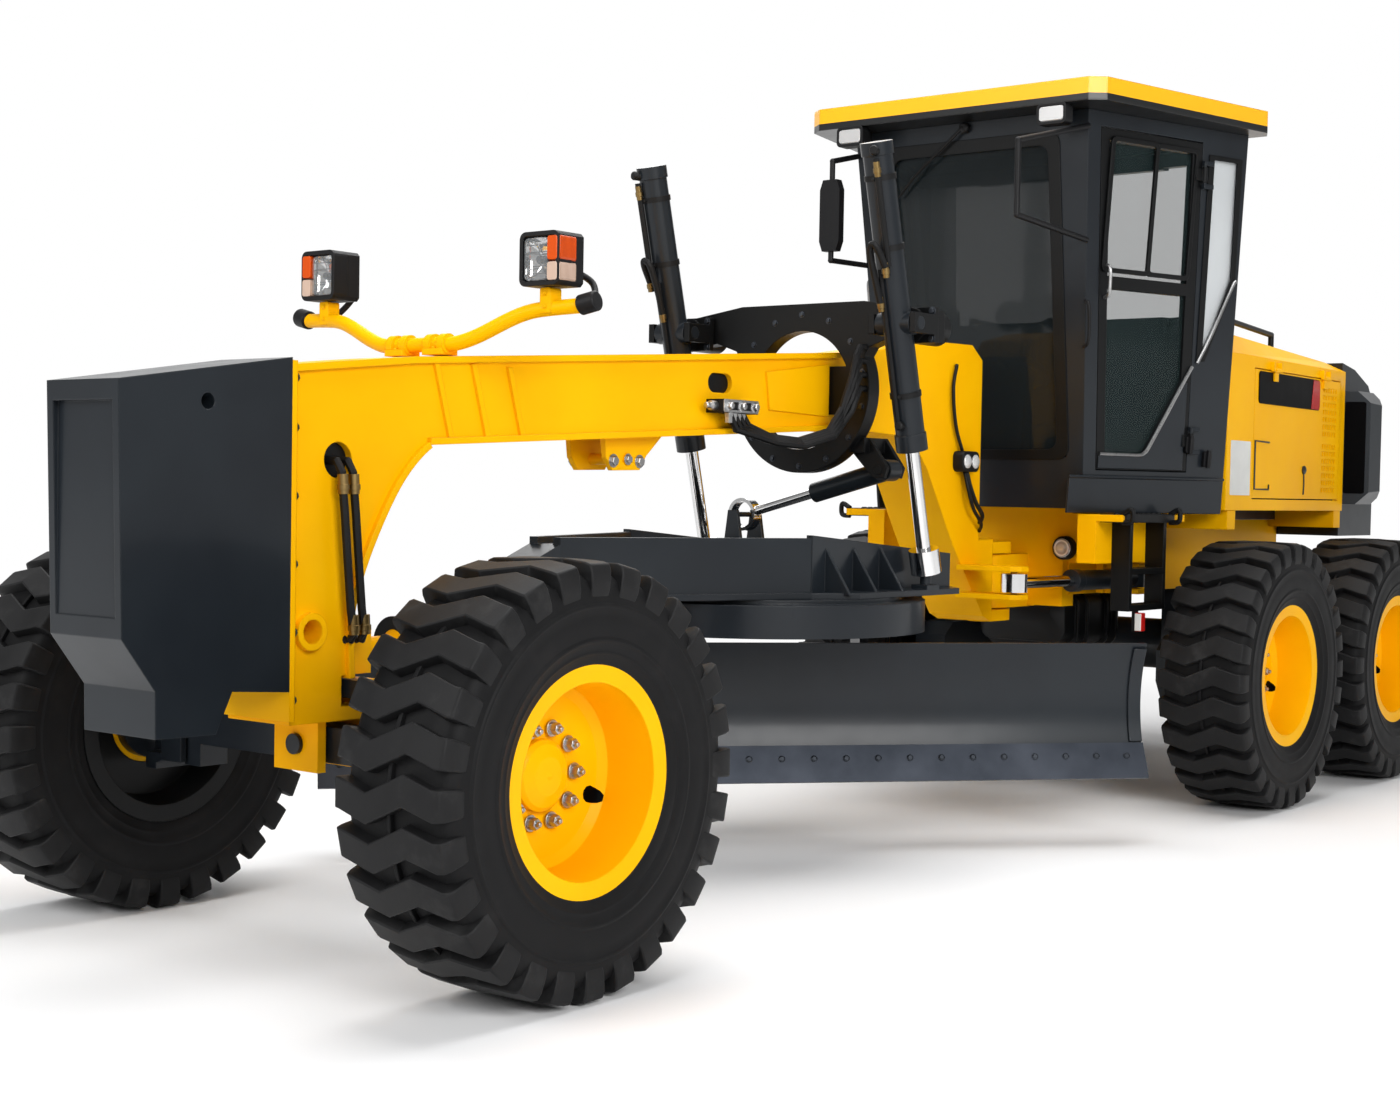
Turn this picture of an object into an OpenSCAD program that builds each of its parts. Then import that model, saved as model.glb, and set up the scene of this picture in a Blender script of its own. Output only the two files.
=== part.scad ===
// Motor grader: articulated frame, leaning front wheels, turning blade and tandem drive.
// Millimetres, +X forward, +Y left, +Z up, origin under the middle of the machine.

/* [Machine] */
// Front axle ahead of the origin
axle_x = 3400; // [3300:10:3500]
// Front axle to the forward drive axle
mid_axle = 5250; // [5150:10:5350]
// Spacing of the two drive axles
tandem = 1530; // [1500:10:1560]
// Half of the front track
front_track = 1030; // [1010:5:1060]
// Half of the rear track
rear_track = 1085; // [1075:5:1110]

/* [Wheels] */
// Tyre outside diameter over the lugs
tyre_d = 1350; // [1320:10:1370]
// Tyre section width
tyre_w = 445; // [420:5:450]
// Bead seat diameter
bead_d = 635; // [610:5:660]
// Height of a lug over the tread floor
lug_h = 38; // [12:1:45]

/* [Frame] */
// Width of the front beam's web box
beam_w = 310; // [280:5:330]
// Articulation axis behind the front axle
hitch = 4350; // [4330:5:4370]
// Height of the articulation cylinders
art_z = 1140; // [1130:2:1150]

/* [Blade] */
// Blade length
blade_l = 3660; // [3300:20:3700]
// Blade angle at rest, from square to the machine
blade_turn = 50; // [30:1:52]
// Circle centre behind the front axle
circle_x = 2410; // [2380:5:2440]
// Circle outside radius
circle_r = 750; // [720:5:770]

/* [Cab] */
// Cab floor height
cab_z = 1500; // [1490:2:1510]
// Height of the cab walls
cab_h = 1900; // [1850:10:1950]
// Roof thickness
roof_t = 108; // [80:2:130]

/* [Hood] */
// Hood length
hood_l = 2050; // [2000:10:2080]
// Half of the hood's width at the cab
hood_w = 880; // [850:5:890]

/* [Hidden] */
$fn = 48;

yellow = [0.95, 0.68, 0.05];
grey = [0.2, 0.22, 0.24];
black = [0.08, 0.08, 0.08];
chrome = [0.8, 0.8, 0.82];
clear = [0.6, 0.75, 0.8, 0.5];

tyre_r = tyre_d / 2;
wheel_z = tyre_r;
gap = 0.3;
rear_axle = mid_axle + tandem;
// Kingpin, lean pivot and lean bar stations
king_y = front_track - 210;
lean_y = king_y - 120;
lean_z = wheel_z - 55;
bar_z = wheel_z + 205;
pin_z = wheel_z + 15;
// Lift cylinders
lift_y = 600;
lift_t = [-2600, 2270];
lift_b = [-2865, 1240];
lift_len = norm(lift_t - lift_b);
lift_tilt = atan2(lift_t[0] - lift_b[0], lift_t[1] - lift_b[1]);
// Centre shift cylinder
shift_s = [-2900, 370, 1660];
shift_d = [-2900, -410, 1450];
shift_len = norm(shift_d - shift_s);
shift_tilt = atan2(shift_s[2] - shift_d[2], shift_s[1] - shift_d[1]);
// Articulation cylinders
art_f = [-hitch + 400, 420];
art_r = [-hitch - 700, 500];
art_len = norm(art_f - art_r);
art_turn = atan2(art_f[1] - art_r[1], art_f[0] - art_r[0]);
// Drawbar ball
ball = [-350, 0, 1000];
ball_r = 60;
// Blade profile in its own upright plane
arc_c = [506, 637];
arc_r = 555;
pivot = [-190, 430];
// Outer face of the side rails under the cab
rail_y = 660;
cab_front = 10 - hitch;
cab_rear = cab_front - 960;
cab_lean = 210;
cab_fw = 570;
cab_rw = 860;
cab_top = cab_z + cab_h;
cab_slope = (cab_rw - cab_fw) / (cab_front - cab_rear);
door_turn = atan(cab_slope);

// Everything below is drawn from the front axle back, then moved to the origin
module place() { translate([axle_x, 0, 0]) children(); }

// Upright plate: points in X and Z, thickness across the machine
module slab(pts, w, y = 0) {
  translate([0, y + w / 2, 0]) rotate([90, 0, 0]) linear_extrude(w) polygon(pts);
}

// Cross plate: points in Y and Z, thickness along the machine
module wall(pts, t, x = 0) {
  translate([x - t / 2, 0, 0]) rotate([90, 0, 90]) linear_extrude(t) polygon(pts);
}

module flat(pts, z0, z1) { translate([0, 0, z0]) linear_extrude(z1 - z0) polygon(pts); }

module block(a, b) { translate(a) cube(b - a); }

module both() {
  children();
  mirror([0, 1, 0]) children();
}

module xcyl(x0, x1, y, z, r) { translate([x0, y, z]) rotate([0, 90, 0]) cylinder(h = x1 - x0, r = r); }

module ycyl(x, y0, y1, z, r) { translate([x, y0, z]) rotate([-90, 0, 0]) cylinder(h = y1 - y0, r = r); }

module zcyl(x, y, z0, z1, r) { translate([x, y, z0]) cylinder(h = z1 - z0, r = r); }

// Round bar between two points, spun about its own axis
module bar(p, q, r, spin = 0) {
  d = q - p;
  translate(p) rotate([0, acos(d[2] / norm(d)), atan2(d[1], d[0])]) rotate([0, 0, spin])
    cylinder(h = norm(d), r = r);
}

// Wheels: turned about Y, outside face towards +Y
module wheel_at(x, y) { translate([x, y, wheel_z]) rotate([-90, 0, 0]) children(); }

// Tyre with block lugs that zigzag from shoulder to shoulder
module tyre() {
  s = tyre_w / 2;
  b = bead_d / 2 + 2 + gap;
  f = tyre_r - lug_h;
  color(black) {
    rotate_extrude($fn = 96) polygon([[b, -171], [b, 171], [b + 54, 172], [b + 68, 197], [b + 150, s],
      [f - 60, s - 8],
      [f - 24, s - 22], [f, s - 70], [f, 70 - s], [f - 24, 22 - s], [f - 60, 8 - s], [b + 150, -s],
        [b + 68, -197],
      [b + 54, -172]]);
    for (i = [0 : lugs - 1]) rotate([0, 0, 90 - lug_half + lug_lead + i * 360 / lugs]) lug();
  }
}

lugs = 28;
lug_half = 0.31 * 360 / lugs;
lug_zig = 33;
lug_lead = lug_zig / tyre_r * 180 / PI;

function lug_top(y, r, a) = [r * cos(a), r * sin(a), y];

module lug() {
  s = tyre_w / 2;
  z = lug_lead;
  line = [[s - 4, tyre_r - 88, 0], [s - 14, tyre_r - 12, 0], [75, tyre_r, -z], [-75, tyre_r, z],
    [14 - s, tyre_r - 12, 0], [4 - s, tyre_r - 88, 0]];
  n = len(line);
  points = [for (l = line) each [lug_top(l[0], l[1], l[2] - lug_half), lug_top(l[0], l[1], l[2] + lug_half),
    lug_top(max(-150, min(150, l[0])), bead_d / 2 + 45, l[2])]];
  sides = [for (i = [0 : n - 2]) for (k = [0 : 2]) each [
    [3 * i + k, 3 * i + (k + 1) % 3, 3 * i + 3 + k], [3 * i + (k + 1) % 3, 3 * i + 3 + (k + 1) % 3,
      3 * i + 3 + k]]];
  polyhedron(points, concat([[0, 2, 1]], sides, [[3 * n - 3, 3 * n - 2, 3 * n - 1]]));
}

module rim() {
  b = bead_d / 2;
  color(yellow) difference() {
    rotate_extrude($fn = 96) polygon([[b - 16, -185], [b + 46, -192], [b + 48, -182], [b + 4, -176],
      [b + 1, -172],
      [b + 1, -130], [b - 6, -120], [b - 6, 120], [b + 1, 130], [b + 1, 172], [b + 4, 176],
      [b + 48, 182], [b + 46, 192], [b - 16, 185], [b - 22, 120], [b - 30, 6], [b - 60, -14],
      [112, -30], [112, -8], [98, 4], [60, 16], [0, 20], [0, -60], [150, -60], [b - 50, -36], [b - 22,
        -120]]);
    for (a = [-1, 1]) rotate([0, 0, 40 + a * 3]) translate([235, 0, -60]) cylinder(h = 90, r = 18);
    rotate([0, 0, 40]) translate([235, 0, -15]) cube([36, 25, 90], center = true);
  }
}

module front_left_tyre() { place() wheel_at(0, front_track) tyre(); }
module front_left_rim() { place() wheel_at(0, front_track) rim(); }
module front_right_tyre() { place() mirror([0, 1, 0]) wheel_at(0, front_track) tyre(); }
module front_right_rim() { place() mirror([0, 1, 0]) wheel_at(0, front_track) rim(); }
module mid_left_tyre() { place() wheel_at(-mid_axle, rear_track) tyre(); }
module mid_left_rim() { place() wheel_at(-mid_axle, rear_track) rim(); }
module mid_right_tyre() { place() mirror([0, 1, 0]) wheel_at(-mid_axle, rear_track) tyre(); }
module mid_right_rim() { place() mirror([0, 1, 0]) wheel_at(-mid_axle, rear_track) rim(); }
module rear_left_tyre() { place() wheel_at(-rear_axle, rear_track) tyre(); }
module rear_left_rim() { place() wheel_at(-rear_axle, rear_track) rim(); }
module rear_right_tyre() { place() mirror([0, 1, 0]) wheel_at(-rear_axle, rear_track) tyre(); }
module rear_right_rim() { place() mirror([0, 1, 0]) wheel_at(-rear_axle, rear_track) rim(); }

// Front frame: gooseneck, beam, rear leg and hitch ears
module front_frame() {
  w = beam_w;
  h = -hitch;
  color(yellow) place() difference() {
    union() {
      slab([[270, 1940], [-252, 1996], [-2863, 2172], [-3446, 2248], [h + 666, 2280], [h + 389, 2284],
        [h + 290, 2215], [h + 290, 1336], [h + 150, 1336], [h + 150, 930], [h + 230, 960], [h + 534, 1316],
        [h + 775, 1672], [h + 870, 1770], [h + 1020, 1826], [-2907, 1842], [-328, 1704], [-189, 1577],
        [-57, 1358], [20, 1159], [27, 1010], [20, 905], [-110, 905], [-110, 775], [270, 775]], w);
      // Flange strips
      slab([[270, 1944], [-252, 2000], [-2863, 2178], [-2863, 2154], [-252, 1976], [270, 1920]], w + 40);
      slab([[-2907, 1838], [-328, 1700], [-328, 1724], [-2907, 1862]], w + 40);
      // Front mounting plate
      block([270, -180, 790], [292, 180, 1955]);
      // Axle pivot plates and pin
      block([75, -110, pin_z - 90], [110, 110, 780]);
      block([-110, -110, pin_z - 90], [-75, 110, 780]);
      // Drawbar ball on its stub
      block([-130, -100, 920], [25, 100, 1080]);
      xcyl(ball[0], -120, 0, ball[2], 34);
      translate(ball) sphere(r = ball_r);
      // Hitch ears and pin
      for (z = [[930, 985], [1268, 1325]]) {
        block([h, -150, z[0]], [h + 160, 150, z[1]]);
        zcyl(h, 0, z[0], z[1], 150);
      }
      zcyl(h, 0, 920, 1336, 60);
      // Articulation cylinder ears
      both() for (z = [[art_z - 80, art_z - 55], [art_z + 55, art_z + 80]]) {
        flat([[h + 480, w / 2 - 10], [h + 480, 300], [art_f[0] + 60, art_f[1] + 10],
          [art_f[0] + 30, art_f[1] + 55], [art_f[0] - 40, art_f[1] + 55], [art_f[0] - 60, art_f[1]],
          [h + 300, w / 2 - 10]], z[0], z[1]);
      }
      both() zcyl(art_f[0], art_f[1], art_z - 80, art_z + 80, 16);
      // Slanted ribs and pressed panels on the webs
      both() for (x = [-346, -530, -712]) slab([[x, 1990], [x - 24, 1990], [x - 100, 1730], [x - 76,
        1730]], 24, w / 2);
      both() slab([[-2276, 2060], [-2735, 2118], [-2735, 1890], [-2302, 1902]], 20, w / 2);
      // Clevis under the beam
      for (y = [-90, 90]) slab([[-1318, 1770], [-1682, 1785], [-1570, 1690], [-1530, 1634], [-1370, 1630],
        [-1330, 1680]], 24, y);
      ycyl(-1450, -110, 110, 1675, 22);
      // Boss tube through the gooseneck foot
      ycyl(196, -w / 2 - 25, w / 2 + 25, 1078, 62);
    }
    ycyl(196, -w, w, 1078, 40);
    xcyl(-200, 200, 0, pin_z, 35 + gap);
    ycyl(76, -w, w, 1639, 60);
    block([-50, -w, bar_z - 58], [50, w, bar_z + 45]);
    // Slot in the beam's web
    for (x = [-1930, -2010]) ycyl(x, -w, w, 1998, 40);
    block([-2010, -w, 1958], [-1930, w, 2038]);
  }
}

module front_weight() {
  color(grey) place() difference() {
    slab([[952, 1862], [292 + gap, 1964], [292 + gap, 888], [522, 905], [583, 775], [810, 779], [812,
      925], [934, 1088]], 360);
    ycyl(625, -300, 300, 1809, 25);
    block([930, -150, 1150], [980, 150, 1800]);
  }
}

module lift_saddle() {
  x = -2790;
  ring_z = 2008;
  color(grey) place() {
    difference() {
      union() {
        both() wall([[690, 2200], [690, 2335], [330, 2390], [0, 2390], [0, 2250], [290, 2080], [360,
          2190], [470, 2228]], 80, x);
        xcyl(x - 40, x + 40, 0, ring_z, 365);
      }
      xcyl(x - 60, x + 60, 0, ring_z, 262);
    }
    // Pads against the beam's webs
    both() block([x - 40, beam_w / 2 + gap, 1900], [x + 40, 270, 2110]);
    both() difference() {
      union() {
        xcyl(x - 120, -2700, lift_y, lift_t[1], 75);
        block([-2735, lift_y - 118, lift_t[1] - 75], [-2705, lift_y + 118, lift_t[1] + 75]);
        block([-2725, lift_y - 118, lift_t[1] - 42], [-2556, lift_y - 88, lift_t[1] + 42]);
        block([-2725, lift_y + 88, lift_t[1] - 42], [-2556, lift_y + 118, lift_t[1] + 42]);
      }
      ycyl(lift_t[0], lift_y - 200, lift_y + 200, lift_t[1], 28 + gap);
    }
    // Lug for the centre shift cylinder
    block([shift_s[0] - 74, 200, 1735], [x, 320, 1800]);
    for (t = [-62, 62]) wall([[200, 1800], [320, 1800], [415, 1670], [400, 1625], [345, 1625], [230,
      1740]], 24, shift_s[0] + t);
    xcyl(shift_s[0] - 80, shift_s[0] + 80, shift_s[1], shift_s[2], 20);
  }
}

module headlamp_bar() {
  color(yellow) place() {
    both() {
      bar([-440, 170, 2056], [-519, 695, 2176], 26);
      translate([-440, 170, 2056]) sphere(r = 27);
      zcyl(-505, 558, 2145, 2240 - gap, 18);
    }
    ycyl(-440, -170, 170, 2056, 26);
    block([-475, -60, 2017], [-405, 60, 2070]);
  }
}

// Hose: round section swept along points, with both ends square to the run
function hose_dir(p, i) = i == 0 ? p[1] - p[0] : i == len(p) - 1 ? p[i] - p[i - 1] : p[i + 1] - p[i - 1];

function hose_ring(c, d, r) = let (w = d / norm(d), u0 = cross(w, [0.31, 0.9, 0.27]), u = u0 / norm(u0),
  v = cross(w, u))
  [for (k = [0 : 7]) c + r * (cos(45 * k) * u + sin(45 * k) * v)];

module hose(p, r) {
  n = len(p);
  points = [for (i = [0 : n - 1]) each hose_ring(p[i], hose_dir(p, i), r)];
  sides = [for (i = [0 : n - 2]) for (k = [0 : 7]) let (a = 8 * i + k, b = 8 * i + (k + 1) % 8) each
    [[a, b + 8, b], [a, a + 8, b + 8]]];
  polyhedron(points, concat([[for (k = [0 : 7]) k]], sides, [[for (k = [7 : -1 : 0]) 8 * n - 8 + k]]));
}

// Beam valve with its hoses to the lift cylinders, and the steering hoses on the gooseneck
module hydraulic_hoses() {
  w = beam_w / 2;
  color(black) place() {
    block([-2120, w + gap, 1874], [-1880, w + 84, 1929]);
    for (i = [0 : 3]) let (y = w + 42 + 9 * i, x = -2060 + 40 * i) hose([[-2750 + gap, 340, 2190 - 60 * i],
      [-2715, 340, 2190 - 60 * i], [-2690, 338, 2150 - 60 * i], [-2670, 330, 2060 - 50 * i], [-2640, 300,
        1920 - 24 * i],
      [-2560, y + 90, 1820 - 8 * i], [-2400, y + 50, 1776 - 8 * i], [-2240, y + 20, 1786 - 8 * i],
      [x - 50, y, 1828 - 6 * i], [x, y, 1880]], 15);
    for (i = [-1, 1]) hose([[76 + 24 * i, w - 40, 1639], [76 + 24 * i, w + 22, 1636], [72 + 24 * i,
      w + 42, 1600],
      [60 + 24 * i, w + 46, 1460], [46 + 24 * i, w + 46, 1311], [30 + 24 * i, w + 46, 1150],
      [14 + 24 * i, w + 42, 1070], [10 + 24 * i, w + 24, 1044], [10 + 24 * i, w + gap, 1044]], 15);
  }
}

// Headlamps: chamfered housings, open towards the front
module headlamps() {
  color(black) place() both() difference() {
    wall([[470, 2252], [482, 2240], [634, 2240], [646, 2252], [646, 2408], [634, 2420], [482, 2420], [470,
      2408]], 120, -512);
    block([-500, 486, 2256], [-440, 630, 2404]);
  }
}

// Front axle: fixed beam with lean pivots at its ends
module front_axle() {
  color(grey) place() difference() {
    union() {
      slab([[-60, pin_z - 60], [60, pin_z - 60], [60, pin_z + 60], [-60, pin_z + 60]], 2 * lean_y - 100);
      xcyl(-125, 125, 0, pin_z, 35);
      both() block([-60, lean_y - 130, lean_z - 70], [60, lean_y - 45, pin_z + 60]);
      both() xcyl(-60, 60, lean_y, lean_z, 60);
      both() block([-60, lean_y - 90, lean_z - 50], [60, lean_y, lean_z + 50]);
      // Steering cylinder barrel behind the beam
      ycyl(-190, -260, 260, pin_z, 42);
      both() block([-190, 180, pin_z - 25], [-50, 220, pin_z + 25]);
    }
    ycyl(-190, -300, 300, pin_z, 22 + gap);
    both() xcyl(-100, 100, lean_y, lean_z, 30 + gap);
  }
}

// Lean bracket: turns about X on the axle, carries the kingpin
module lean_bracket() {
  k = king_y + 20;
  jaw = king_y - 66;
  color(grey) {
    difference() {
      for (x = [-80, 80]) wall([[lean_y - 60, lean_z - 60], [lean_y - 60, bar_z + 40], [lean_y + 50,
        bar_z + 40],
        [k, wheel_z + 150], [k, wheel_z + 92], [jaw, wheel_z + 92], [jaw, wheel_z - 92], [k, wheel_z - 92],
        [k, wheel_z - 150], [lean_y + 50, lean_z - 60]], 24, x);
      // Room for the steering arm at full lock
      block([-95, king_y - 112, wheel_z - 6], [-65, king_y - 60, wheel_z + 62]);
    }
    xcyl(-92, 92, lean_y, lean_z, 30);
    xcyl(-92, 92, lean_y, bar_z, 22);
    block([-92, king_y - 40, wheel_z + 92], [92, k, wheel_z + 150]);
    block([-92, king_y - 40, wheel_z - 150], [92, k, wheel_z - 92]);
    zcyl(0, king_y, wheel_z - 150, wheel_z + 150, 30);
  }
}

module left_lean_bracket() { place() lean_bracket(); }
module right_lean_bracket() { place() mirror([0, 1, 0]) lean_bracket(); }

// Knuckle: turns on the kingpin, carries the wheel spindle
module knuckle() {
  arm = king_y + 30;
  color(grey) difference() {
    union() {
      zcyl(0, king_y, wheel_z - 86, wheel_z + 86, 54);
      ycyl(0, king_y, front_track - 66, wheel_z, 48);
      ycyl(0, front_track - 110, front_track - 60 - gap, wheel_z, 130);
      // Steering arm
      block([-170, arm - 22, wheel_z + 8], [-20, arm + 22, wheel_z + 48]);
      zcyl(-170, arm, wheel_z + 2, wheel_z + 54, 36);
    }
    zcyl(0, king_y, wheel_z - 200, wheel_z + 200, 30 + gap);
  }
}

module left_knuckle() { place() knuckle(); }
module right_knuckle() { place() mirror([0, 1, 0]) knuckle(); }

module lean_bar() {
  color(grey) place() difference() {
    union() {
      slab([[-30, bar_z - 30], [30, bar_z - 30], [30, bar_z + 30], [-30, bar_z + 30]], 2 * lean_y);
      both() xcyl(-60, 60, lean_y, bar_z, 42);
    }
    both() xcyl(-100, 100, lean_y, bar_z, 22 + gap);
  }
}

module tie_rod() {
  color(chrome) place() {
    ycyl(-190, -king_y + 80, king_y - 80, pin_z, 22);
    both() zcyl(-190, king_y - 80, pin_z - 25, pin_z + 25, 34);
  }
}

// Drawbar: tongue, cover plate, side plates and ball studs
module drawbar() {
  color(grey) place() difference() {
    union() {
      xcyl(ball[0] - 110, ball[0] + 28, 0, ball[2], 100);
      slab([[ball[0] - 60, 930], [ball[0] - 60, 1070], [-1100, 1345], [-1500, 1345], [-1500, 1125],
        [-1150, 1125]], 160);
      flat([[-1150, 100], [-2130, 520], [-2300, 640], [-3080, 640], [-3220, 500], [-3220, -500], [-3080,
        -640],
        [-2300, -640], [-2130, -520], [-1150, -100]], 1125, 1150);
      both() flat([[-1100, 40], [-1100, 80], [-2163, 505], [-2163, 472]], 1140, 1372);
      both() slab([[-2150, 1140], [-3220, 1140], [-3220, 1296], [-2150, 1384]], 30, 490);
      block([-3220, -490, 1140], [-3190, 490, 1280]);
      block([-2180, -490, 1140], [-2150, 490, 1340]);
      // Gussets and ball studs
      both() {
        for (g = [-2250, -2450, -2650]) wall([[500, 1140], [630, 1140], [505, 1330], [490, 1330]], 16, g);
        block([lift_b[0] - 50, lift_y - 40, 1140], [lift_b[0] + 50, lift_y + 40, 1170]);
        zcyl(lift_b[0], lift_y, 1160, lift_b[1], 24);
        translate([lift_b[0], lift_y, lift_b[1]]) sphere(r = 40);
      }
      // Post for the centre shift rod
      for (t = [-85, 85]) wall([[-480, 1140], [-330, 1140], [-385, 1470], [-435, 1470]], 20,
        shift_d[0] + t);
      xcyl(shift_d[0] - 95, shift_d[0] + 95, shift_d[1], shift_d[2], 12);
    }
    translate(ball) sphere(r = ball_r + gap);
    xcyl(ball[0], ball[0] + 80, 0, ball[2], 53);
  }
}

module turned() { translate([-circle_x, 0, 0]) rotate([0, 0, blade_turn]) children(); }

module circle() {
  color(grey) place() turned() {
    difference() {
      union() {
        zcyl(0, 0, 975, 1108, circle_r);
        zcyl(0, 0, 1000, 1125 - gap, circle_r - 100);
      }
      zcyl(0, 0, 900, 1200, circle_r - 190);
    }
    difference() {
      both() slab([[-470, 985], [-300, 985], [-285, 700], [-262, 500], [-145, 480], [-145, 385], [-250,
        372], [-400, 650]], 40, 600);
      ycyl(pivot[0], -800, 800, pivot[1], 30 + gap);
    }
  }
}

module blade_carrier() {
  color(grey) place() turned() {
    ycyl(pivot[0], -640, 640, pivot[1], 30);
    ycyl(pivot[0], -560, 560, pivot[1], 45);
    both() difference() {
      block([-215, 455, 375], [-62, 545, 830]);
      block([-110 - gap, 400, 755 - gap], [0, 600, 805 + gap]);
      block([-95 - gap, 400, 395 - gap], [0, 600, 445 + gap]);
      block([-148, 400, 460], [0, 600, 740]);
    }
    difference() {
      union() {
        ycyl(-122, -640, 520, 600, 38);
        block([-160, 455, 570], [-135, 545, 630]);
        block([-160, -545, 570], [-135, -455, 630]);
      }
      ycyl(-122, -630, 500, 600, 30);
      ycyl(-122, 400, 700, 600, 20 + gap);
    }
  }
}

function arc_x(z, r) = arc_c[0] - sqrt(r * r - (z - arc_c[1]) * (z - arc_c[1]));

module moldboard() {
  color(grey) place() turned() {
    intersection() {
      translate([arc_c[0], 0, arc_c[1]]) rotate([90, 0, 0]) difference() {
        cylinder(h = blade_l, r = arc_r + 18, center = true, $fn = 120);
        cylinder(h = blade_l + 10, r = arc_r, center = true, $fn = 120);
      }
      block([-200, -blade_l, 330], [200, blade_l, 905]);
    }
    block([-110, -1100, 755], [arc_x(780, arc_r + 8), 1100, 805]);
    block([-95, -1100, 395], [arc_x(440, arc_r + 12), 1100, 445]);
    // Side shift rod and its bracket
    ycyl(-122, -75, 1160, 600, 20);
    block([-165, 1150, 560], [arc_x(600, arc_r + 9), 1180, 640]);
  }
}

module cutting_edge() {
  a = arc_x(450, arc_r) + gap;
  b = arc_x(330, arc_r) + gap;
  c = b + (b - a) / 4;
  color(grey) place() turned() slab([[a, 450], [c, 300], [c + 18, 306], [a + 18, 456]], blade_l);
}

// Lift cylinders: drawn about the trunnion, tilted so +Z runs from ball to trunnion
module lift_at(y) { translate([lift_t[0], y, lift_t[1]]) rotate([0, lift_tilt, 0]) children(); }

module lift_barrel() {
  color(grey) difference() {
    union() {
      zcyl(0, 0, -543, 754, 62);
      zcyl(0, 0, -543, -470, 68);
      zcyl(0, 0, 700, 754, 68);
      ycyl(0, -118, 118, 0, 28);
      ycyl(0, -84, 84, 0, 48);
    }
    zcyl(0, 0, -470, 720, 50);
    zcyl(0, 0, -600, -400, 30 + gap);
  }
}

module lift_rod() {
  color(chrome) difference() {
    union() {
      zcyl(0, 0, -lift_len, -60, 30);
      zcyl(0, 0, -110, -60, 49.5);
      zcyl(0, 0, -lift_len - 20, -lift_len + 85, 66);
    }
    translate([0, 0, -lift_len]) sphere(r = 54);
    zcyl(0, 0, -lift_len - 60, -lift_len, 54);
  }
}

module left_lift_barrel() { place() lift_at(lift_y) lift_barrel(); }
module left_lift_rod() { place() lift_at(lift_y) lift_rod(); }
module right_lift_barrel() { place() lift_at(-lift_y) lift_barrel(); }
module right_lift_rod() { place() lift_at(-lift_y) lift_rod(); }

// Centre shift cylinder: drawn along -Y from its pin on the saddle
module shift_at() { translate(shift_s) rotate([shift_tilt, 0, 0]) children(); }

module shift_barrel() {
  color(grey) place() shift_at() difference() {
    union() {
      ycyl(0, -400, 0, 0, 45);
      xcyl(-44, 44, 0, 0, 48);
    }
    ycyl(0, -380, -60, 0, 36);
    ycyl(0, -500, -300, 0, 22 + gap);
    xcyl(-60, 60, 0, 0, 20 + gap);
  }
}

module shift_rod() {
  color(chrome) place() shift_at() difference() {
    union() {
      ycyl(0, -shift_len, -130, 0, 22);
      ycyl(0, -170, -130, 0, 35.5);
      xcyl(-27, 27, -shift_len, 0, 76);
    }
    xcyl(-60, 60, -shift_len, 0, 60);
  }
}

// Articulation cylinders: drawn along +X from the pin on the rear frame
module art_at() { translate([art_r[0], art_r[1], art_z]) rotate([0, 0, art_turn]) children(); }

module art_barrel() {
  color(grey) difference() {
    union() {
      xcyl(0, 600, 0, 0, 50);
      xcyl(540, 600, 0, 0, 56);
      zcyl(0, 0, -45, 45, 58);
    }
    xcyl(75, 580, 0, 0, 40);
    xcyl(400, 700, 0, 0, 28 + gap);
    zcyl(0, 0, -90, 90, 25 + gap);
  }
}

module art_rod() {
  color(chrome) difference() {
    union() {
      xcyl(300, art_len, 0, 0, 28);
      xcyl(300, 340, 0, 0, 39.5);
      zcyl(art_len, 0, -44, 44, 64);
    }
    zcyl(art_len, 0, -90, 90, 48);
  }
}

module left_articulation_barrel() { place() art_at() art_barrel(); }
module left_articulation_rod() { place() art_at() art_rod(); }
module right_articulation_barrel() { place() mirror([0, 1, 0]) art_at() art_barrel(); }
module right_articulation_rod() { place() mirror([0, 1, 0]) art_at() art_rod(); }

// Rear frame: hitch tongue, rails, platform and skirts
module rear_frame() {
  h = -hitch;
  e = hood_x1;
  color(yellow) place() difference() {
    union() {
      zcyl(h, 0, 992, 1261, 130);
      block([h - 330, -130, 992], [h, 130, 1261]);
      block([h - 370, -330, 1000], [h - 250, 330, 1474]);
      block([h - 370, -rail_y, 1234], [h - 250, rail_y, 1474]);
      both() {
        block([e, 280, 1060], [h - 300, 380, 1440]);
        block([-mid_axle + 250, rail_y - 100, 1234], [h + 40, rail_y, 1474]);
        block([-mid_axle + 250, rail_y - 100, 1440], [h + 40, rail_y + 140, 1474]);
        for (x = [h - 900, e + 60]) block([x - 60, 0, 1100], [x, 380, 1400]);
        // Cylinder pins
        for (z = [[art_z - 80, art_z - 52], [art_z + 52, art_z + 80]]) flat([[art_r[0] - 70, 370],
          [art_r[0] - 60, art_r[1] + 60], [art_r[0] + 60, art_r[1] + 60], [art_r[0] + 70, 370]], z[0],
            z[1]);
        zcyl(art_r[0], art_r[1], art_z - 80, art_z + 80, 25);
      }
      block([h - 900, -380, 1420], [h - 250, 380, cab_z - gap]);
      // Hood outriggers
      both() for (x = [hood_x0 - 100, hood_x1 + 80]) block([x - 50, 280, 1400], [x + 50, hood_y(x) - 4,
        hood_z0 - gap]);
    }
    zcyl(h, 0, 900, 1400, 60 + gap);
    both() block([h - 600, 340, art_z - 80], [h - 200, 500, art_z + 80]);
  }
}

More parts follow.
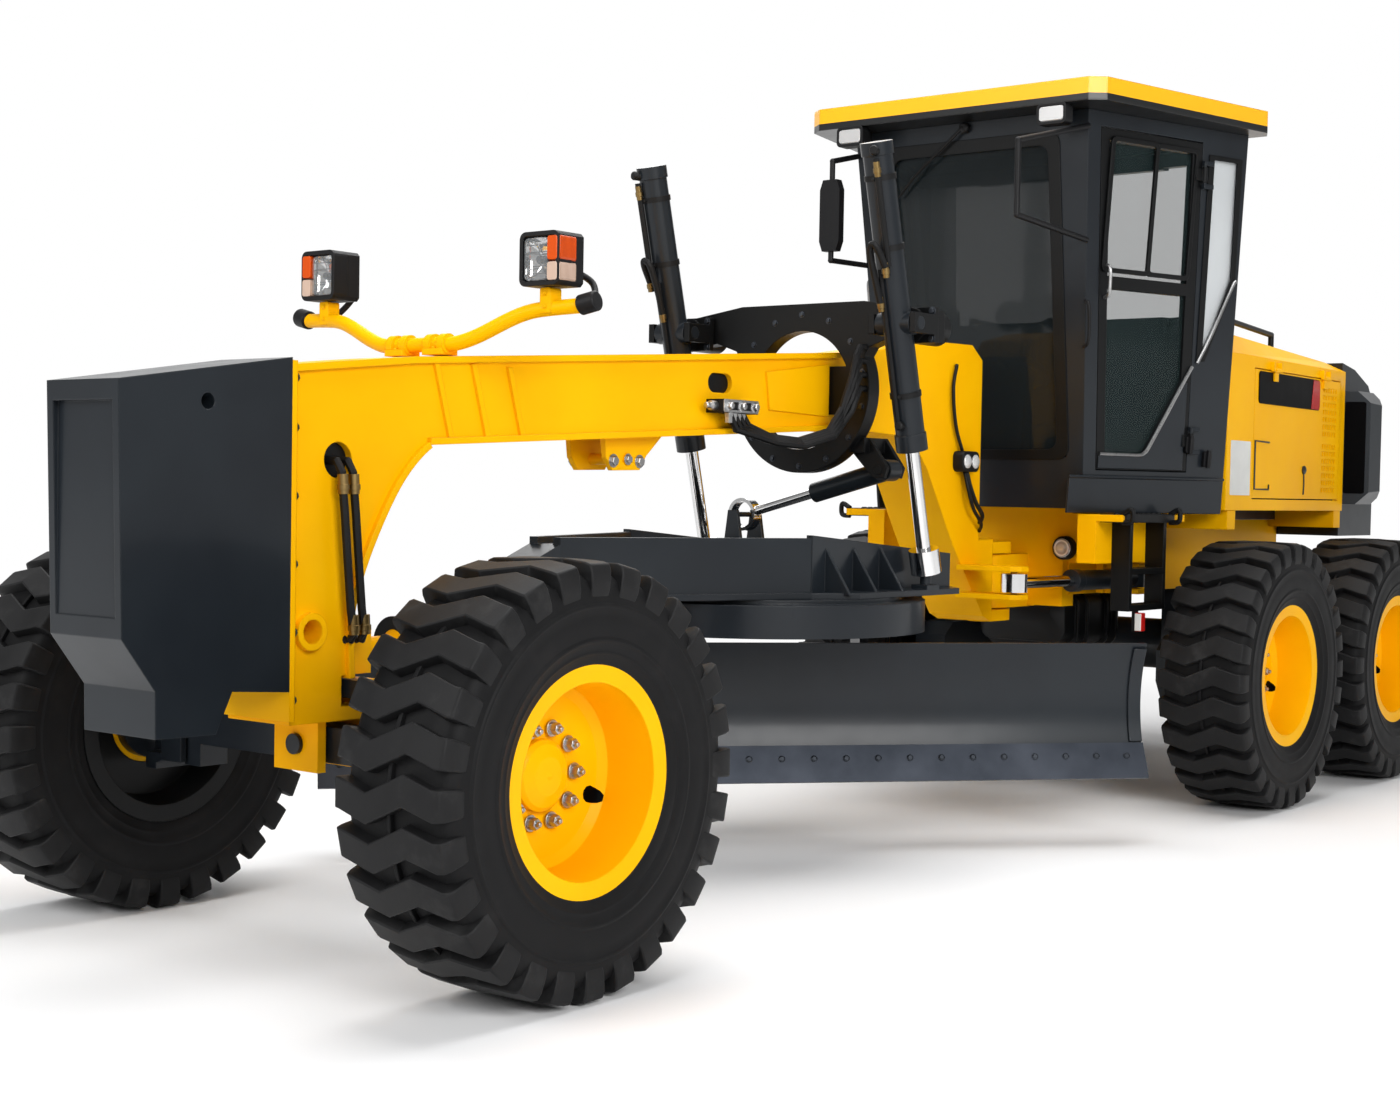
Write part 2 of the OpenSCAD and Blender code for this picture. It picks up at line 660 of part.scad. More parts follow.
// Tandem cases and axle housing, with hub stubs for the four drive wheels
module tandem_axle() {
  m = -mid_axle - tandem / 2;
  color(grey) place() {
    ycyl(m, 425 - rear_track, rear_track - 425, wheel_z + 60, 140);
    both() {
      block([m - 160, 282, wheel_z], [m + 160, 378, 1060 - gap]);
      slab([[-mid_axle + 190, wheel_z - 60], [-mid_axle + 120, wheel_z - 170], [-rear_axle - 120,
        wheel_z - 170],
        [-rear_axle - 190, wheel_z - 60], [-rear_axle - 190, wheel_z + 100], [-rear_axle - 100,
          wheel_z + 170],
        [m - 200, wheel_z + 210], [m + 200, wheel_z + 210], [-mid_axle + 100, wheel_z + 170],
        [-mid_axle + 190, wheel_z + 100]], 190, rear_track - 355);
      for (x = [-mid_axle, -rear_axle]) {
        ycyl(x, rear_track - 285, rear_track - 80, wheel_z, 90);
        ycyl(x, rear_track - 110, rear_track - 60 - gap, wheel_z, 140);
      }
    }
  }
}

// Cab: tapered box, leaning out and forward to the top
function cab_f(z) = (z - cab_z) / cab_h;
function cab_xf(z) = cab_front + cab_lean * cab_f(z);
function cab_xr(z) = cab_rear + 80 * cab_f(z);
function cab_y(x, z) = cab_fw + 93 * cab_f(z) + cab_slope * (cab_xf(z) - x);

// Closed solid between two quadrilaterals
module prism(p, q) {
  polyhedron(concat(p, q), [[2, 1, 0], [3, 2, 0], [5, 6, 4], [6, 7, 4], [5, 4, 0], [1, 5, 0], [6, 5, 1],
    [2, 6, 1],
    [7, 6, 2], [3, 7, 2], [4, 7, 3], [0, 4, 3]]);
}

function cab_quad(t, z) = [
  [cab_xf(z) - t, -cab_y(cab_xf(z) - t, z) + t / cos(door_turn), z],
  [cab_xf(z) - t, cab_y(cab_xf(z) - t, z) - t / cos(door_turn), z],
  [cab_xr(z) + t, cab_y(cab_xr(z) + t, z) - t / cos(door_turn), z],
  [cab_xr(z) + t, -cab_y(cab_xr(z) + t, z) + t / cos(door_turn), z]];

module cab_solid(t, z0, z1) { prism(cab_quad(t, z1), cab_quad(t, z0)); }

// Prism through the left wall, d0 to d1 behind the front corner, at its foot and its head
module side_box(a, b, z0, z1, m = 0) {
  translate([cab_front + 60, cab_fw + 15, 0]) rotate([0, 0, -door_turn]) prism(
    [[-b[1] + m, -300, z1 - m], [-b[0] - m, -300, z1 - m], [-b[0] - m, 300, z1 - m], [-b[1] + m, 300,
      z1 - m]],
    [[-a[1] + m, -300, z0 + m], [-a[0] - m, -300, z0 + m], [-a[0] - m, 300, z0 + m], [-a[1] + m, 300,
      z0 + m]]);
}

door_z0 = cab_z + 190;
door_z1 = cab_top - 70;
door_foot = [120, 770];
door_head = [-30, 690];

function door_d(z) = door_foot + (door_head - door_foot) * (z - door_z0) / (door_z1 - door_z0);

module door_box(m = 0) { side_box(door_foot, door_head, door_z0, door_z1, m); }

module door_panes(m = 0) {
  e = [60, -70];
  side_box(door_d(cab_z + 1130) + e, door_d(door_z1 - 60) + e, cab_z + 1130, door_z1 - 60, m);
  side_box(door_d(cab_z + 650) + e, door_d(cab_z + 1070) + e, cab_z + 650 - 2 * m, cab_z + 1070, m);
  side_box(door_d(cab_z + 270) + [60, -330], door_d(cab_z + 650) + e, cab_z + 270, cab_z + 650 + m, m);
}

// Door hinges: pins on the shell, knuckles on the door, along the door's leaning rear edge
function wall_n(z) = (cab_lean * cab_f(z) - 60) * sin(door_turn) + (93 * cab_f(z) - 15) * cos(door_turn);
function hinge_p(z) = [-door_d(z)[1] - 3, wall_n(z) + 16, z];
hinge_at = [door_z0 + 160, door_z1 - 160];

module on_wall() { translate([cab_front + 60, cab_fw + 15, 0]) rotate([0, 0, -door_turn]) children(); }

module door_pins() {
  on_wall() for (z = hinge_at) {
    p = hinge_p(z);
    bar(hinge_p(z - 62), hinge_p(z + 62), 8, 100);
    for (k = [-57, 57]) {
      translate([p[0], p[1], 0]) flat([[-57, -26], [-2, -26], [-2, -10], [10, -10], [10, 10], [-57, 10]],
        z + k - 11, z + k + 11);
    }
  }
}

module door_knuckles() {
  on_wall() for (z = hinge_at) {
    p = hinge_p(z);
    bar(hinge_p(z - 38), hinge_p(z + 38), 14);
    block([p[0] + 9, p[1] - 26, z - 30], [p[0] + 55, p[1] - 3, z + 30]);
  }
}

module door_bores() { on_wall() for (z = hinge_at) bar(hinge_p(z - 60), hinge_p(z + 60), 8 + gap); }

module quarter_pane(m = 0) {
  side_box([785, 995], [755, 965], cab_z + 1150 - 2 * m, cab_top - 130, m);
  side_box([800, 830], [785, 995], cab_z + 760, cab_z + 1150 + m, m);
}

module front_pane(m = 0) { block([-4500, -490 + m, cab_z + 250 + m], [-3900, 490 - m, cab_top - 100 - m]); }

module rear_pane(m = 0) { block([-5500, -700 + m, cab_z + 1000 + m], [-5100, 700 - m, cab_top - 140 - m]); }

module cab_shell() {
  color(grey) place() both() door_pins();
  color(grey) place() difference() {
    cab_solid(0, cab_z, cab_top);
    cab_solid(50, cab_z + 40, cab_top - 60);
    cab_solid(90, cab_top - 80, cab_top + 10);
    both() door_box();
    both() quarter_pane();
    front_pane();
    rear_pane();
  }
}

module cab_glass() {
  color(clear) place() intersection() {
    difference() {
      cab_solid(18, cab_z, cab_top);
      cab_solid(25, cab_z, cab_top);
    }
    union() {
      both() quarter_pane(gap);
      front_pane(gap);
      rear_pane(gap);
    }
  }
}

module door() {
  color(grey) difference() {
    door_knuckles();
    door_bores();
  }
  color(grey) difference() {
    intersection() {
      difference() {
        cab_solid(0, cab_z, cab_top);
        cab_solid(40, cab_z, cab_top);
      }
      door_box(5);
    }
    door_panes();
  }
}

module door_glass() {
  color(clear) intersection() {
    difference() {
      cab_solid(15, cab_z, cab_top);
      cab_solid(21, cab_z, cab_top);
    }
    door_panes(gap);
  }
}

module left_door() { place() door(); }
module right_door() { place() mirror([0, 1, 0]) door(); }
module left_door_glass() { place() door_glass(); }
module right_door_glass() { place() mirror([0, 1, 0]) door_glass(); }

module cab_roof() {
  z = cab_top + gap;
  f = cab_front + 405;
  color(yellow) place() flat([[f, -760], [f, 760], [f - 55, 830], [f - 1265, 1100], [f - 1355, 1060],
    [f - 1355, -1060],
    [f - 1265, -1100], [f - 55, -830]], z, z + roof_t);
}

module operator_seat() {
  z = cab_z + 40 + gap;
  f = cab_front - 340;
  color(black) place() {
    block([f - 400, -180, z], [f - 80, 180, z + 260]);
    block([f - 450, -250, z + 260], [f, 250, z + 380]);
    block([f - 510, -240, z + 340], [f - 400, 240, z + 1050]);
  }
}

module steering_console() {
  z = cab_z + 40 + gap;
  f = cab_front - 160;
  color(black) place() {
    slab([[f, z], [f - 100, z], [f - 140, z + 660], [f - 60, z + 680]], 240);
    translate([f - 105, 0, z + 640]) rotate([0, -24, 0]) difference() {
      cylinder(h = 30, r = 200);
      translate([0, 0, -10]) cylinder(h = 60, r = 170);
    }
    translate([f - 105, 0, z + 640]) rotate([0, -24, 0]) block([-180, -18, 2], [180, 18, 24]);
  }
}

// Hood: tapered in plan, hollow, with a door cut in each side
hood_x0 = cab_rear - 10;
hood_x1 = hood_x0 + 160 - hood_l;
hood_rw = hood_w - 100;
hood_z0 = 1500;
hood_z1 = 2320;

function hood_y(x) = hood_w + (hood_rw - hood_w) * (x - hood_x0) / (hood_x1 - hood_x0);

module hood_side(x0, x1, t0, t1, z0, z1) {
  flat([[x0, hood_y(x0) - t0], [x1, hood_y(x1) - t0], [x1, hood_y(x1) - t1], [x0, hood_y(x0) - t1]], z0,
    z1);
}

hdoor_x0 = hood_x0 - 380;
hdoor_x1 = hood_x1 + 90;

module engine_hood() {
  color(yellow) place() both() hood_pins();
  color(yellow) place() {
    difference() {
      flat([[hood_x0, -hood_w], [hood_x0, hood_w], [hood_x1, hood_rw], [hood_x1, -hood_rw]], hood_z0,
        hood_z1);
      flat([[hood_x0 + 10, -hood_w + 30], [hood_x0 + 10, hood_w - 30], [hood_x1 - 10, hood_rw - 30],
        [hood_x1 - 10, -hood_rw + 30]],
        hood_z0 - 10, hood_z1 + 10);
      both() hood_side(hdoor_x0, hdoor_x1, -50, 100, hood_z0 + 60, hood_z1 - 60);
    }
    // Top with sloped shoulders
    difference() {
      hood_top(0);
      translate([0, 0, -30]) hood_top(30);
    }
  }
}

module hood_top(t) {
  x0 = hood_x0 + t;
  x1 = hood_x1 - t;
  a = hood_w - t;
  b = hood_rw - t;
  prism([[x0, -a, hood_z1], [x0, a, hood_z1], [x0, a - 130, hood_z1 + 130], [x0, -a + 130, hood_z1 + 130]],
    [[x1, -b, hood_z1], [x1, b, hood_z1], [x1, b - 130, hood_z1 + 60], [x1, -b + 130, hood_z1 + 60]]);
}

hdoor_z = hood_z1 - 60;
hood_hinges = [hdoor_x0 - 300, hdoor_x1 + 300];

function hood_p(x) = [x, hood_y(x) + 14, hdoor_z];

module hood_pins() {
  for (x = hood_hinges) {
    bar(hood_p(x + 62), hood_p(x - 62), 7);
    for (k = [-57, 57]) {
      hood_side(x + k + 11, x + k - 11, -24, 6, hdoor_z + 3, hdoor_z + 44);
      hood_side(x + k + 11, x + k - 11, -24, -5, hdoor_z - 9, hdoor_z + 10);
    }
  }
}

// Engine door: plate with a perforated grille, hung on the hood's pins
module engine_door() {
  turn = atan((hood_w - hood_rw) / (hood_x0 - hood_x1));
  run = (hdoor_x0 - hdoor_x1 - 12) / cos(turn);
  z0 = hood_z0 + 66;
  z1 = hdoor_z - 6;
  color(yellow) translate([hdoor_x0 - 6, hood_y(hdoor_x0 - 6), 0]) rotate([0, 0, turn]) rotate([90, 0, 0])
    linear_extrude(30) difference() {
      translate([-run, z0]) square([run, z1 - z0]);
      for (i = [0 : grille_n - 1]) for (j = [0 : grille_m - 1]) {
        translate([-run + 60 + i * grille_step,
          z0 + 40 + j * grille_step + (j < grille_m / 2 ? 0 : 30)]) square(grille_hole);
      }
    }
  color(yellow) difference() {
    for (x = hood_hinges) {
      bar(hood_p(x + 38), hood_p(x - 38), 13);
      hood_side(x + 30, x - 30, -14, 8, hdoor_z - 60, hdoor_z - 2);
    }
    for (x = hood_hinges) bar(hood_p(x + 60), hood_p(x - 60), 7 + gap);
  }
}
grille_n = 6;
grille_m = 14;
grille_step = 42;
grille_hole = 26;

module left_engine_door() { place() engine_door(); }
module right_engine_door() { place() mirror([0, 1, 0]) engine_door(); }

module radiator_guard() {
  x = hood_x1 - gap;
  color(grey) place() {
    slab([[x, 1350], [x, 2375], [x - 200, 2345], [x - 430, 2260], [x - 540, 2130], [x - 540, 1350]],
      2 * hood_rw - 40);
    both() intersection() {
      flat([[x - 10, hood_rw - 25], [x - 70, hood_rw + 130], [x - 230,
        hood_rw + 140],
        [x - 300, hood_rw + 100], [x - 300, hood_rw - 25]], 1540, 2210);
      wall([[hood_rw - 40, 1540], [hood_rw + 60, 1540], [hood_rw + 150, 1630], [hood_rw + 150, 2120],
        [hood_rw + 60, 2210], [hood_rw - 40, 2210]], 400, x - 150);
    }
    block([x - 548, -120, 1050], [x - 300, 120, 1360]);
  }
}

// Handrail on the hood's left and right shoulder
function hood_z(x) = hood_z1 + 130 - 70 * (x - hood_x0) / (hood_x1 - hood_x0);

module hood_rail() {
  z = hood_z1 + 130;
  y = hood_w - 190;
  f = hood_x0 - 60;
  color(black) place() both() {
    bar([f, y, z + 90], [f - 1060, y - 56, z + 40], 16);
    translate([f, y, z + 90]) sphere(r = 16.5);
    translate([f - 1060, y - 56, z + 40]) sphere(r = 16.5);
    zcyl(f, y, hood_z(f + 16) + gap, z + 90, 16);
    zcyl(f - 1060, y - 56, hood_z(f - 1044) + gap, z + 40, 16);
  }
}

module engine_block() {
  color(grey) place() block([hood_x1 + 150, -430, 1440 + gap], [hood_x0 - 250, 430, 2150]);
}

module ladders() {
  h = -hitch - 350;
  y0 = rail_y + gap;
  y1 = rail_y + 100;
  color(black) place() both() {
    // Stringers and treads, then the low post
    for (x = [h + 220, h - 150]) block([x - 30, y0, 1000], [x, y1, 1440 - gap]);
    for (z = [1000, 1180]) difference() {
      block([h - 160, y0, z], [h + 210, y1, z + 30]);
      for (i = [0 : 5]) zcyl(h - 100 + 50 * i, rail_y + 50, z - 10, z + 40, 16);
    }
    block([h + 113, y1 - 16, 900], [h + 153, y1, 1001]);
  }
}

// Arm from a point down to the front corner of the cab
module pillar_arm(p, z) {
  c = [cab_xf(z), cab_y(cab_xf(z), z), z];
  bar(p, c - 3 * (c - p) / norm(c - p), 14);
}

module mirrors() {
  f = cab_front;
  color(black) place() {
    // Bare hoop on the left
    pillar_arm([f + 850, 650, 3160], 3320);
    translate([f + 850, 650, 3160]) sphere(r = 15);
    zcyl(f + 850, 650, 2825, 3160, 14);
    translate([f + 850, 650, 2825]) sphere(r = 15);
    pillar_arm([f + 850, 650, 2825], 2788);
    // Mirror on two arms on the right
    mirror([0, 1, 0]) {
      pillar_arm([f + 420, 662, 3235], 3290);
      translate([f + 420, 662, 3235]) sphere(r = 15);
      zcyl(f + 420, 662, 2735, 3235, 14);
      translate([f + 420, 662, 2735]) sphere(r = 15);
      pillar_arm([f + 420, 662, 2735], 2735);
      wall([[602, 2830], [620, 2780], [704, 2780], [722, 2830], [722, 3090], [704, 3140], [620, 3140],
        [602, 3090]], 44, f + 420);
    }
  }
}

module work_lamps() {
  f = cab_front + 400;
  color(black) place() both() {
    block([f - 50, 500, cab_top - 90], [f, 640, cab_top]);
    block([f - 180, 560, cab_top - 60], [f - 40, 580, cab_top]);
  }
}

rear_frame();
tandem_axle();
cab_shell();
cab_roof();
cab_glass();
operator_seat();
steering_console();
engine_hood();
radiator_guard();
hood_rail();
engine_block();
ladders();
mirrors();
work_lamps();
left_door();
left_door_glass();
right_door();
right_door_glass();
left_engine_door();
right_engine_door();
front_frame();
front_weight();
lift_saddle();
headlamp_bar();
headlamps();
hydraulic_hoses();
front_axle();
left_lean_bracket();
right_lean_bracket();
left_knuckle();
right_knuckle();
lean_bar();
tie_rod();
drawbar();
circle();
blade_carrier();
moldboard();
cutting_edge();
left_lift_barrel();
left_lift_rod();
right_lift_barrel();
right_lift_rod();
shift_barrel();
shift_rod();
left_articulation_barrel();
left_articulation_rod();
right_articulation_barrel();
right_articulation_rod();
front_left_tyre();
front_left_rim();
front_right_tyre();
front_right_rim();
mid_left_tyre();
mid_left_rim();
mid_right_tyre();
mid_right_rim();
rear_left_tyre();
rear_left_rim();
rear_right_tyre();
rear_right_rim();
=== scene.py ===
"""Looks of a motor grader: paint, rubber, glass, lamps, hoses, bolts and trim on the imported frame."""
import math

import bmesh
import bpy
from mathutils import Matrix, Vector

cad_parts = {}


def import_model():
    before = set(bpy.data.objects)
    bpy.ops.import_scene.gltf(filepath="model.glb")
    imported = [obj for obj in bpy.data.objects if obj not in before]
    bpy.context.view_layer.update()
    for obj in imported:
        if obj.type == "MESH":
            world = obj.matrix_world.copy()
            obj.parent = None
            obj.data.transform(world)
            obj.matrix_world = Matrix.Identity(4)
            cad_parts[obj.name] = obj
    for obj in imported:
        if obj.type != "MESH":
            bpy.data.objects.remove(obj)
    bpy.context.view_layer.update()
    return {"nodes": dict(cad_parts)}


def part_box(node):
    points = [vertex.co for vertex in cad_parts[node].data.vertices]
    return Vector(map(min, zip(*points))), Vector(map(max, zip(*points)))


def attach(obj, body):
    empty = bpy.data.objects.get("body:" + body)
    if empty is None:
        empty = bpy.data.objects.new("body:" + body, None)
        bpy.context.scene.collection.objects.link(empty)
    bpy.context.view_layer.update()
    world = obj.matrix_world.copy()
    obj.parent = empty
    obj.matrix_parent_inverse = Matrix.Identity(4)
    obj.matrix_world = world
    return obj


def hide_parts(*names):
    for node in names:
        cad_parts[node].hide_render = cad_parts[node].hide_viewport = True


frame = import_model()

# Places are millimetres from the front axle: x forward, y left, z up
front_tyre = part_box("front_left_tyre")
AXLE = (front_tyre[0][0] + front_tyre[1][0]) / 2
TYRE_R = (front_tyre[1][2] - front_tyre[0][2]) / 2
MM = 0.001


def at(x, y, z):
    """A point in the frame's metres."""
    return Vector((AXLE + x * MM, y * MM, z * MM))


def put(name, data):
    """A new object in the scene."""
    obj = bpy.data.objects.new(name, data)
    bpy.context.scene.collection.objects.link(obj)
    return obj


def srgb(r, g, b):
    """A screen colour from 0 to 255 as linear light."""
    lin = [c / 255 / 12.92 if c < 11 else ((c / 255 + 0.055) / 1.055) ** 2.4 for c in (r, g, b)]
    return (*lin, 1.0)


# Materials


def map_range(tree, source, *bounds):
    """A value scaled from the first two bounds to the last two, or to 0 and 1."""
    node = tree.nodes.new("ShaderNodeMapRange")
    for key, value in zip(("From Min", "From Max", "To Min", "To Max"), bounds):
        node.inputs[key].default_value = value
    tree.links.new(source, node.inputs["Value"])
    return node.outputs["Result"]


def math_node(tree, kind, *values):
    """One step of arithmetic on sockets and plain numbers."""
    node = tree.nodes.new("ShaderNodeMath")
    node.operation = kind
    for socket, value in zip(node.inputs, values):
        if isinstance(value, float):
            socket.default_value = value
        else:
            tree.links.new(value, socket)
    return node.outputs["Value"]


class Shade:
    """A node material around one Principled shader."""

    def __init__(self, name, **values):
        self.mat = bpy.data.materials.new(name)
        self.mat.use_nodes = True
        self.tree = self.mat.node_tree
        self.main = self.tree.nodes["Principled BSDF"]
        self.coords = self.tree.nodes.new("ShaderNodeTexCoord").outputs["Object"]
        for key, value in values.items():
            self.main.inputs[key.replace("_", " ")].default_value = value

    def noise(self, scale, detail=4.0, rough=0.55):
        n = self.tree.nodes.new("ShaderNodeTexNoise")
        n.inputs["Scale"].default_value = scale
        n.inputs["Detail"].default_value = detail
        n.inputs["Roughness"].default_value = rough
        self.tree.links.new(self.coords, n.inputs["Vector"])
        return n.outputs["Fac"]

    def ramp(self, source, stops):
        r = self.tree.nodes.new("ShaderNodeValToRGB")
        while len(r.color_ramp.elements) < len(stops):
            r.color_ramp.elements.new(0.5)
        for element, (place, colour) in zip(r.color_ramp.elements, stops):
            element.position = place
            element.color = colour
        self.tree.links.new(source, r.inputs["Fac"])
        return r.outputs["Color"]

    def colour(self, source):
        self.tree.links.new(source, self.main.inputs["Base Color"])

    def rough(self, source, low, high):
        self.tree.links.new(map_range(self.tree, source, 0.0, 1.0, low, high), self.main.inputs["Roughness"])

    def bump(self, source, strength, distance, edge=0.0):
        """Fine relief, over edges that are rounded to the given radius in metres."""
        b = self.tree.nodes.new("ShaderNodeBump")
        if edge:
            r = self.tree.nodes.new("ShaderNodeBevel")
            r.samples = 4
            r.inputs["Radius"].default_value = edge
            self.tree.links.new(r.outputs["Normal"], b.inputs["Normal"])
        b.inputs["Strength"].default_value = strength
        b.inputs["Distance"].default_value = distance
        self.tree.links.new(source, b.inputs["Height"])
        self.tree.links.new(b.outputs["Normal"], self.main.inputs["Normal"])


def grey4(v):
    """A neutral colour in linear light."""
    return (v, v, v, 1.0)


# Sprayed paint: roughness of the clear coat, scale and depth in metres of the orange peel
COAT_ROUGH = 0.12
PEEL_SCALE = 240.0
PEEL_DEPTH = 0.0006
# Radius in metres that shading gives to the edges of plates and of the pressed roof
PLATE_EDGE = 0.007
ROOF_EDGE = 0.014


def paint(name, base, shade, rough, coat, shine):
    """Sprayed paint: slow tone drift, orange peel and a thin clear coat."""
    s = Shade(name, Coat_Weight=coat, Coat_Roughness=COAT_ROUGH, Specular_IOR_Level=shine)
    s.colour(s.ramp(s.noise(1.6, 3.0), [(0.35, shade), (0.62, base)]))
    s.rough(s.noise(9.0, 5.0), rough - 0.06, rough + 0.1)
    s.bump(s.noise(PEEL_SCALE, 2.0), 0.12, PEEL_DEPTH, edge=PLATE_EDGE)
    return s.mat


def roof_paint(name, base, trim, node, share):
    """Roof paint with a dark lower rim, split by height on the given node."""
    s = Shade(name, Coat_Weight=0.25, Coat_Roughness=COAT_ROUGH, Specular_IOR_Level=0.4)
    lo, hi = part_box(node)
    split = s.tree.nodes.new("ShaderNodeSeparateXYZ")
    s.tree.links.new(s.coords, split.inputs["Vector"])
    height = map_range(s.tree, split.outputs["Z"], lo[2], hi[2])
    s.colour(s.ramp(height, [(share, trim), (share + 0.01, base)]))
    s.rough(s.noise(9.0, 5.0), 0.3, 0.44)
    s.bump(s.noise(PEEL_SCALE, 2.0), 0.12, PEEL_DEPTH, edge=ROOF_EDGE)
    return s.mat


def rubber(name, dark, mid, pale, shine):
    """Tyre rubber: dusty tone that drifts at random and fine mould grain; the lugs' copy is painted paler as
    painted light.
    """
    s = Shade(name, Specular_IOR_Level=shine)
    dust = s.noise(7.0, 6.0, 0.65)
    s.colour(s.ramp(dust, [(0.3, srgb(*dark)), (0.55, srgb(*mid)), (0.8, srgb(*pale))]))
    s.rough(dust, 0.42, 0.75)
    s.bump(s.noise(130.0, 6.0, 0.7), 0.25, 0.0012)
    return s.mat


def steel(name, base, shade, low, high):
    """Bare steel with a fine grain."""
    s = Shade(name, Metallic=1.0)
    s.colour(s.ramp(s.noise(4.0, 6.0), [(0.3, shade), (0.7, base)]))
    s.rough(s.noise(160.0, 3.0), low, high)
    s.bump(s.noise(320.0, 2.0), 0.08, 0.0003)
    return s.mat


def plastic(name, base, shade, low=0.4, high=0.6):
    """Moulded plastic with a fine grain."""
    s = Shade(name, Specular_IOR_Level=0.25)
    s.colour(s.ramp(s.noise(5.0, 4.0), [(0.3, shade), (0.7, base)]))
    s.rough(s.noise(30.0, 3.0), low, high)
    s.bump(s.noise(420.0, 2.0), 0.2, 0.0004)
    return s.mat


# Metres along the frame over which the side panes' tint turns into the windscreen's
TINT_TURN = (AXLE - 4.5, AXLE - 4.42)
# Metres from the middle over which the rear quarter panes begin to be painted pale as painted light, and how
# much they cover
QUARTER_TURN = (0.70, 0.72)
QUARTER_COVER = 0.68


def tinted(name, tint, side, front, pale=None):
    """Window glass: a tint strength at the sides, another ahead of the doors, and rear corners painted pale
    as painted light if asked.
    """
    s = Shade(name, IOR=1.45, Specular_IOR_Level=0.3)
    split = s.tree.nodes.new("ShaderNodeSeparateXYZ")
    s.tree.links.new(s.coords, split.inputs["Vector"])
    strength = map_range(s.tree, split.outputs["X"], *TINT_TURN, side, front)
    tone = map_range(s.tree, s.noise(0.9, 2.0), 0.3, 0.7, 0.0, 0.2)
    stops = [(0.0, tint), (0.2, tuple(c * 1.25 for c in tint[:3]) + (1.0,))]
    # Painted light: the rear corners are covered with a pale colour for the brightness seen in and through
    # them
    if pale:
        wide = math_node(s.tree, "ABSOLUTE", split.outputs["Y"])
        cover = map_range(s.tree, wide, *QUARTER_TURN, 0.0, QUARTER_COVER)
        strength = math_node(s.tree, "MAXIMUM", strength, cover)
        tone = math_node(s.tree, "ADD", tone, map_range(s.tree, wide, *QUARTER_TURN, 0.0, 0.8))
        stops += [(0.8, pale), (1.0, tuple(c * 0.92 for c in pale[:3]) + (1.0,))]
    s.colour(s.ramp(tone, stops))
    s.rough(s.noise(3.0, 3.0), 0.03, 0.08)
    s.tree.links.new(strength, s.main.inputs["Alpha"])
    return s.mat


def lens(name, base, shade, metal=0.0):
    """Ribbed lamp lens, over a bright reflector where it is partly metal."""
    s = Shade(name, Coat_Weight=0.15, Coat_Roughness=0.05, Metallic=metal, Specular_IOR_Level=0.25)
    wave = s.tree.nodes.new("ShaderNodeTexWave")
    wave.inputs["Scale"].default_value = 55.0
    s.tree.links.new(s.coords, wave.inputs["Vector"])
    s.colour(s.ramp(wave.outputs["Fac"], [(0.2, shade), (0.8, base)]))
    s.rough(wave.outputs["Fac"], 0.15, 0.3)
    s.bump(wave.outputs["Fac"], 0.4, 0.001)
    return s.mat


M = {
    "yellow": paint("yellow_paint", srgb(254, 188, 3), srgb(250, 180, 1), 0.36, coat=0.03, shine=0.05),
    "grey": paint("charcoal_paint", srgb(31, 36, 41), srgb(26, 30, 35), 0.3, coat=0.12, shine=0.25),
    "black": paint("black_paint", srgb(13, 14, 15), srgb(9, 10, 11), 0.42, coat=0.04, shine=0.2),
    "roof": roof_paint("roof_paint", srgb(252, 182, 3), srgb(11, 12, 13), "cab_roof", 0.3),
    "rubber": rubber("tyre_rubber", (14, 14, 15), (20, 20, 21), (33, 32, 32), 0.15),
    # Painted light: the lugs get a paler copy of the tyre rubber for the light on their faces
    "lug": rubber("lug_rubber_painted_lit", (14, 14, 15), (23, 23, 24), (48, 48, 48), 0.22),
    "hose": plastic("hose_rubber", srgb(14, 14, 15), srgb(9, 9, 10), 0.45, 0.65),
    "plastic": plastic("black_plastic", srgb(16, 16, 18), srgb(11, 11, 13)),
    "seat": plastic("seat_vinyl", srgb(24, 24, 27), srgb(17, 17, 19), 0.5, 0.75),
    "chrome": steel("chrome_rod", grey4(0.82), grey4(0.7), 0.06, 0.16),
    "steel": steel("zinc_steel", grey4(0.5), grey4(0.34), 0.28, 0.45),
    "worn": steel("worn_edge", srgb(72, 76, 84), srgb(54, 58, 65), 0.38, 0.55),
    # Cab glass, with its rear quarter panes painted pale as painted light
    "glass": tinted("cab_glass", srgb(26, 31, 33), 0.2, 0.8, srgb(226, 230, 232)),
    "door_glass": tinted("door_glass", srgb(46, 60, 60), 0.24, 0.24),
    "clear": tinted("lamp_cover", srgb(214, 218, 220), 0.12, 0.12),
    "mirror": steel("mirror_face", grey4(0.75), grey4(0.6), 0.03, 0.08),
    "lamp": lens("lamp_glass", grey4(0.86), grey4(0.55), metal=0.35),
    "amber": lens("amber_lens", srgb(222, 84, 4), srgb(158, 46, 2)),
    "pale_lens": lens("pale_lens", srgb(216, 190, 172), srgb(150, 118, 100)),
    "red": lens("red_lens", srgb(204, 30, 24), srgb(150, 12, 10)),
    "bright": steel("satin_trim", grey4(0.42), grey4(0.3), 0.22, 0.36),
    "brass": steel("brass_fitting", srgb(150, 126, 82), srgb(108, 88, 52), 0.3, 0.45),
    "dark_steel": steel("dark_steel", srgb(74, 78, 84), srgb(52, 55, 60), 0.35, 0.5),
    "gloss": paint("gloss_black", srgb(6, 6, 7), srgb(3, 3, 4), 0.3, coat=0.0, shine=0.02),
    "plate": plastic("blank_plate", srgb(226, 226, 222), srgb(212, 212, 208), 0.35, 0.5),
}

# Finish of the frame's own solids

SMOOTH_BELOW = math.radians(32)


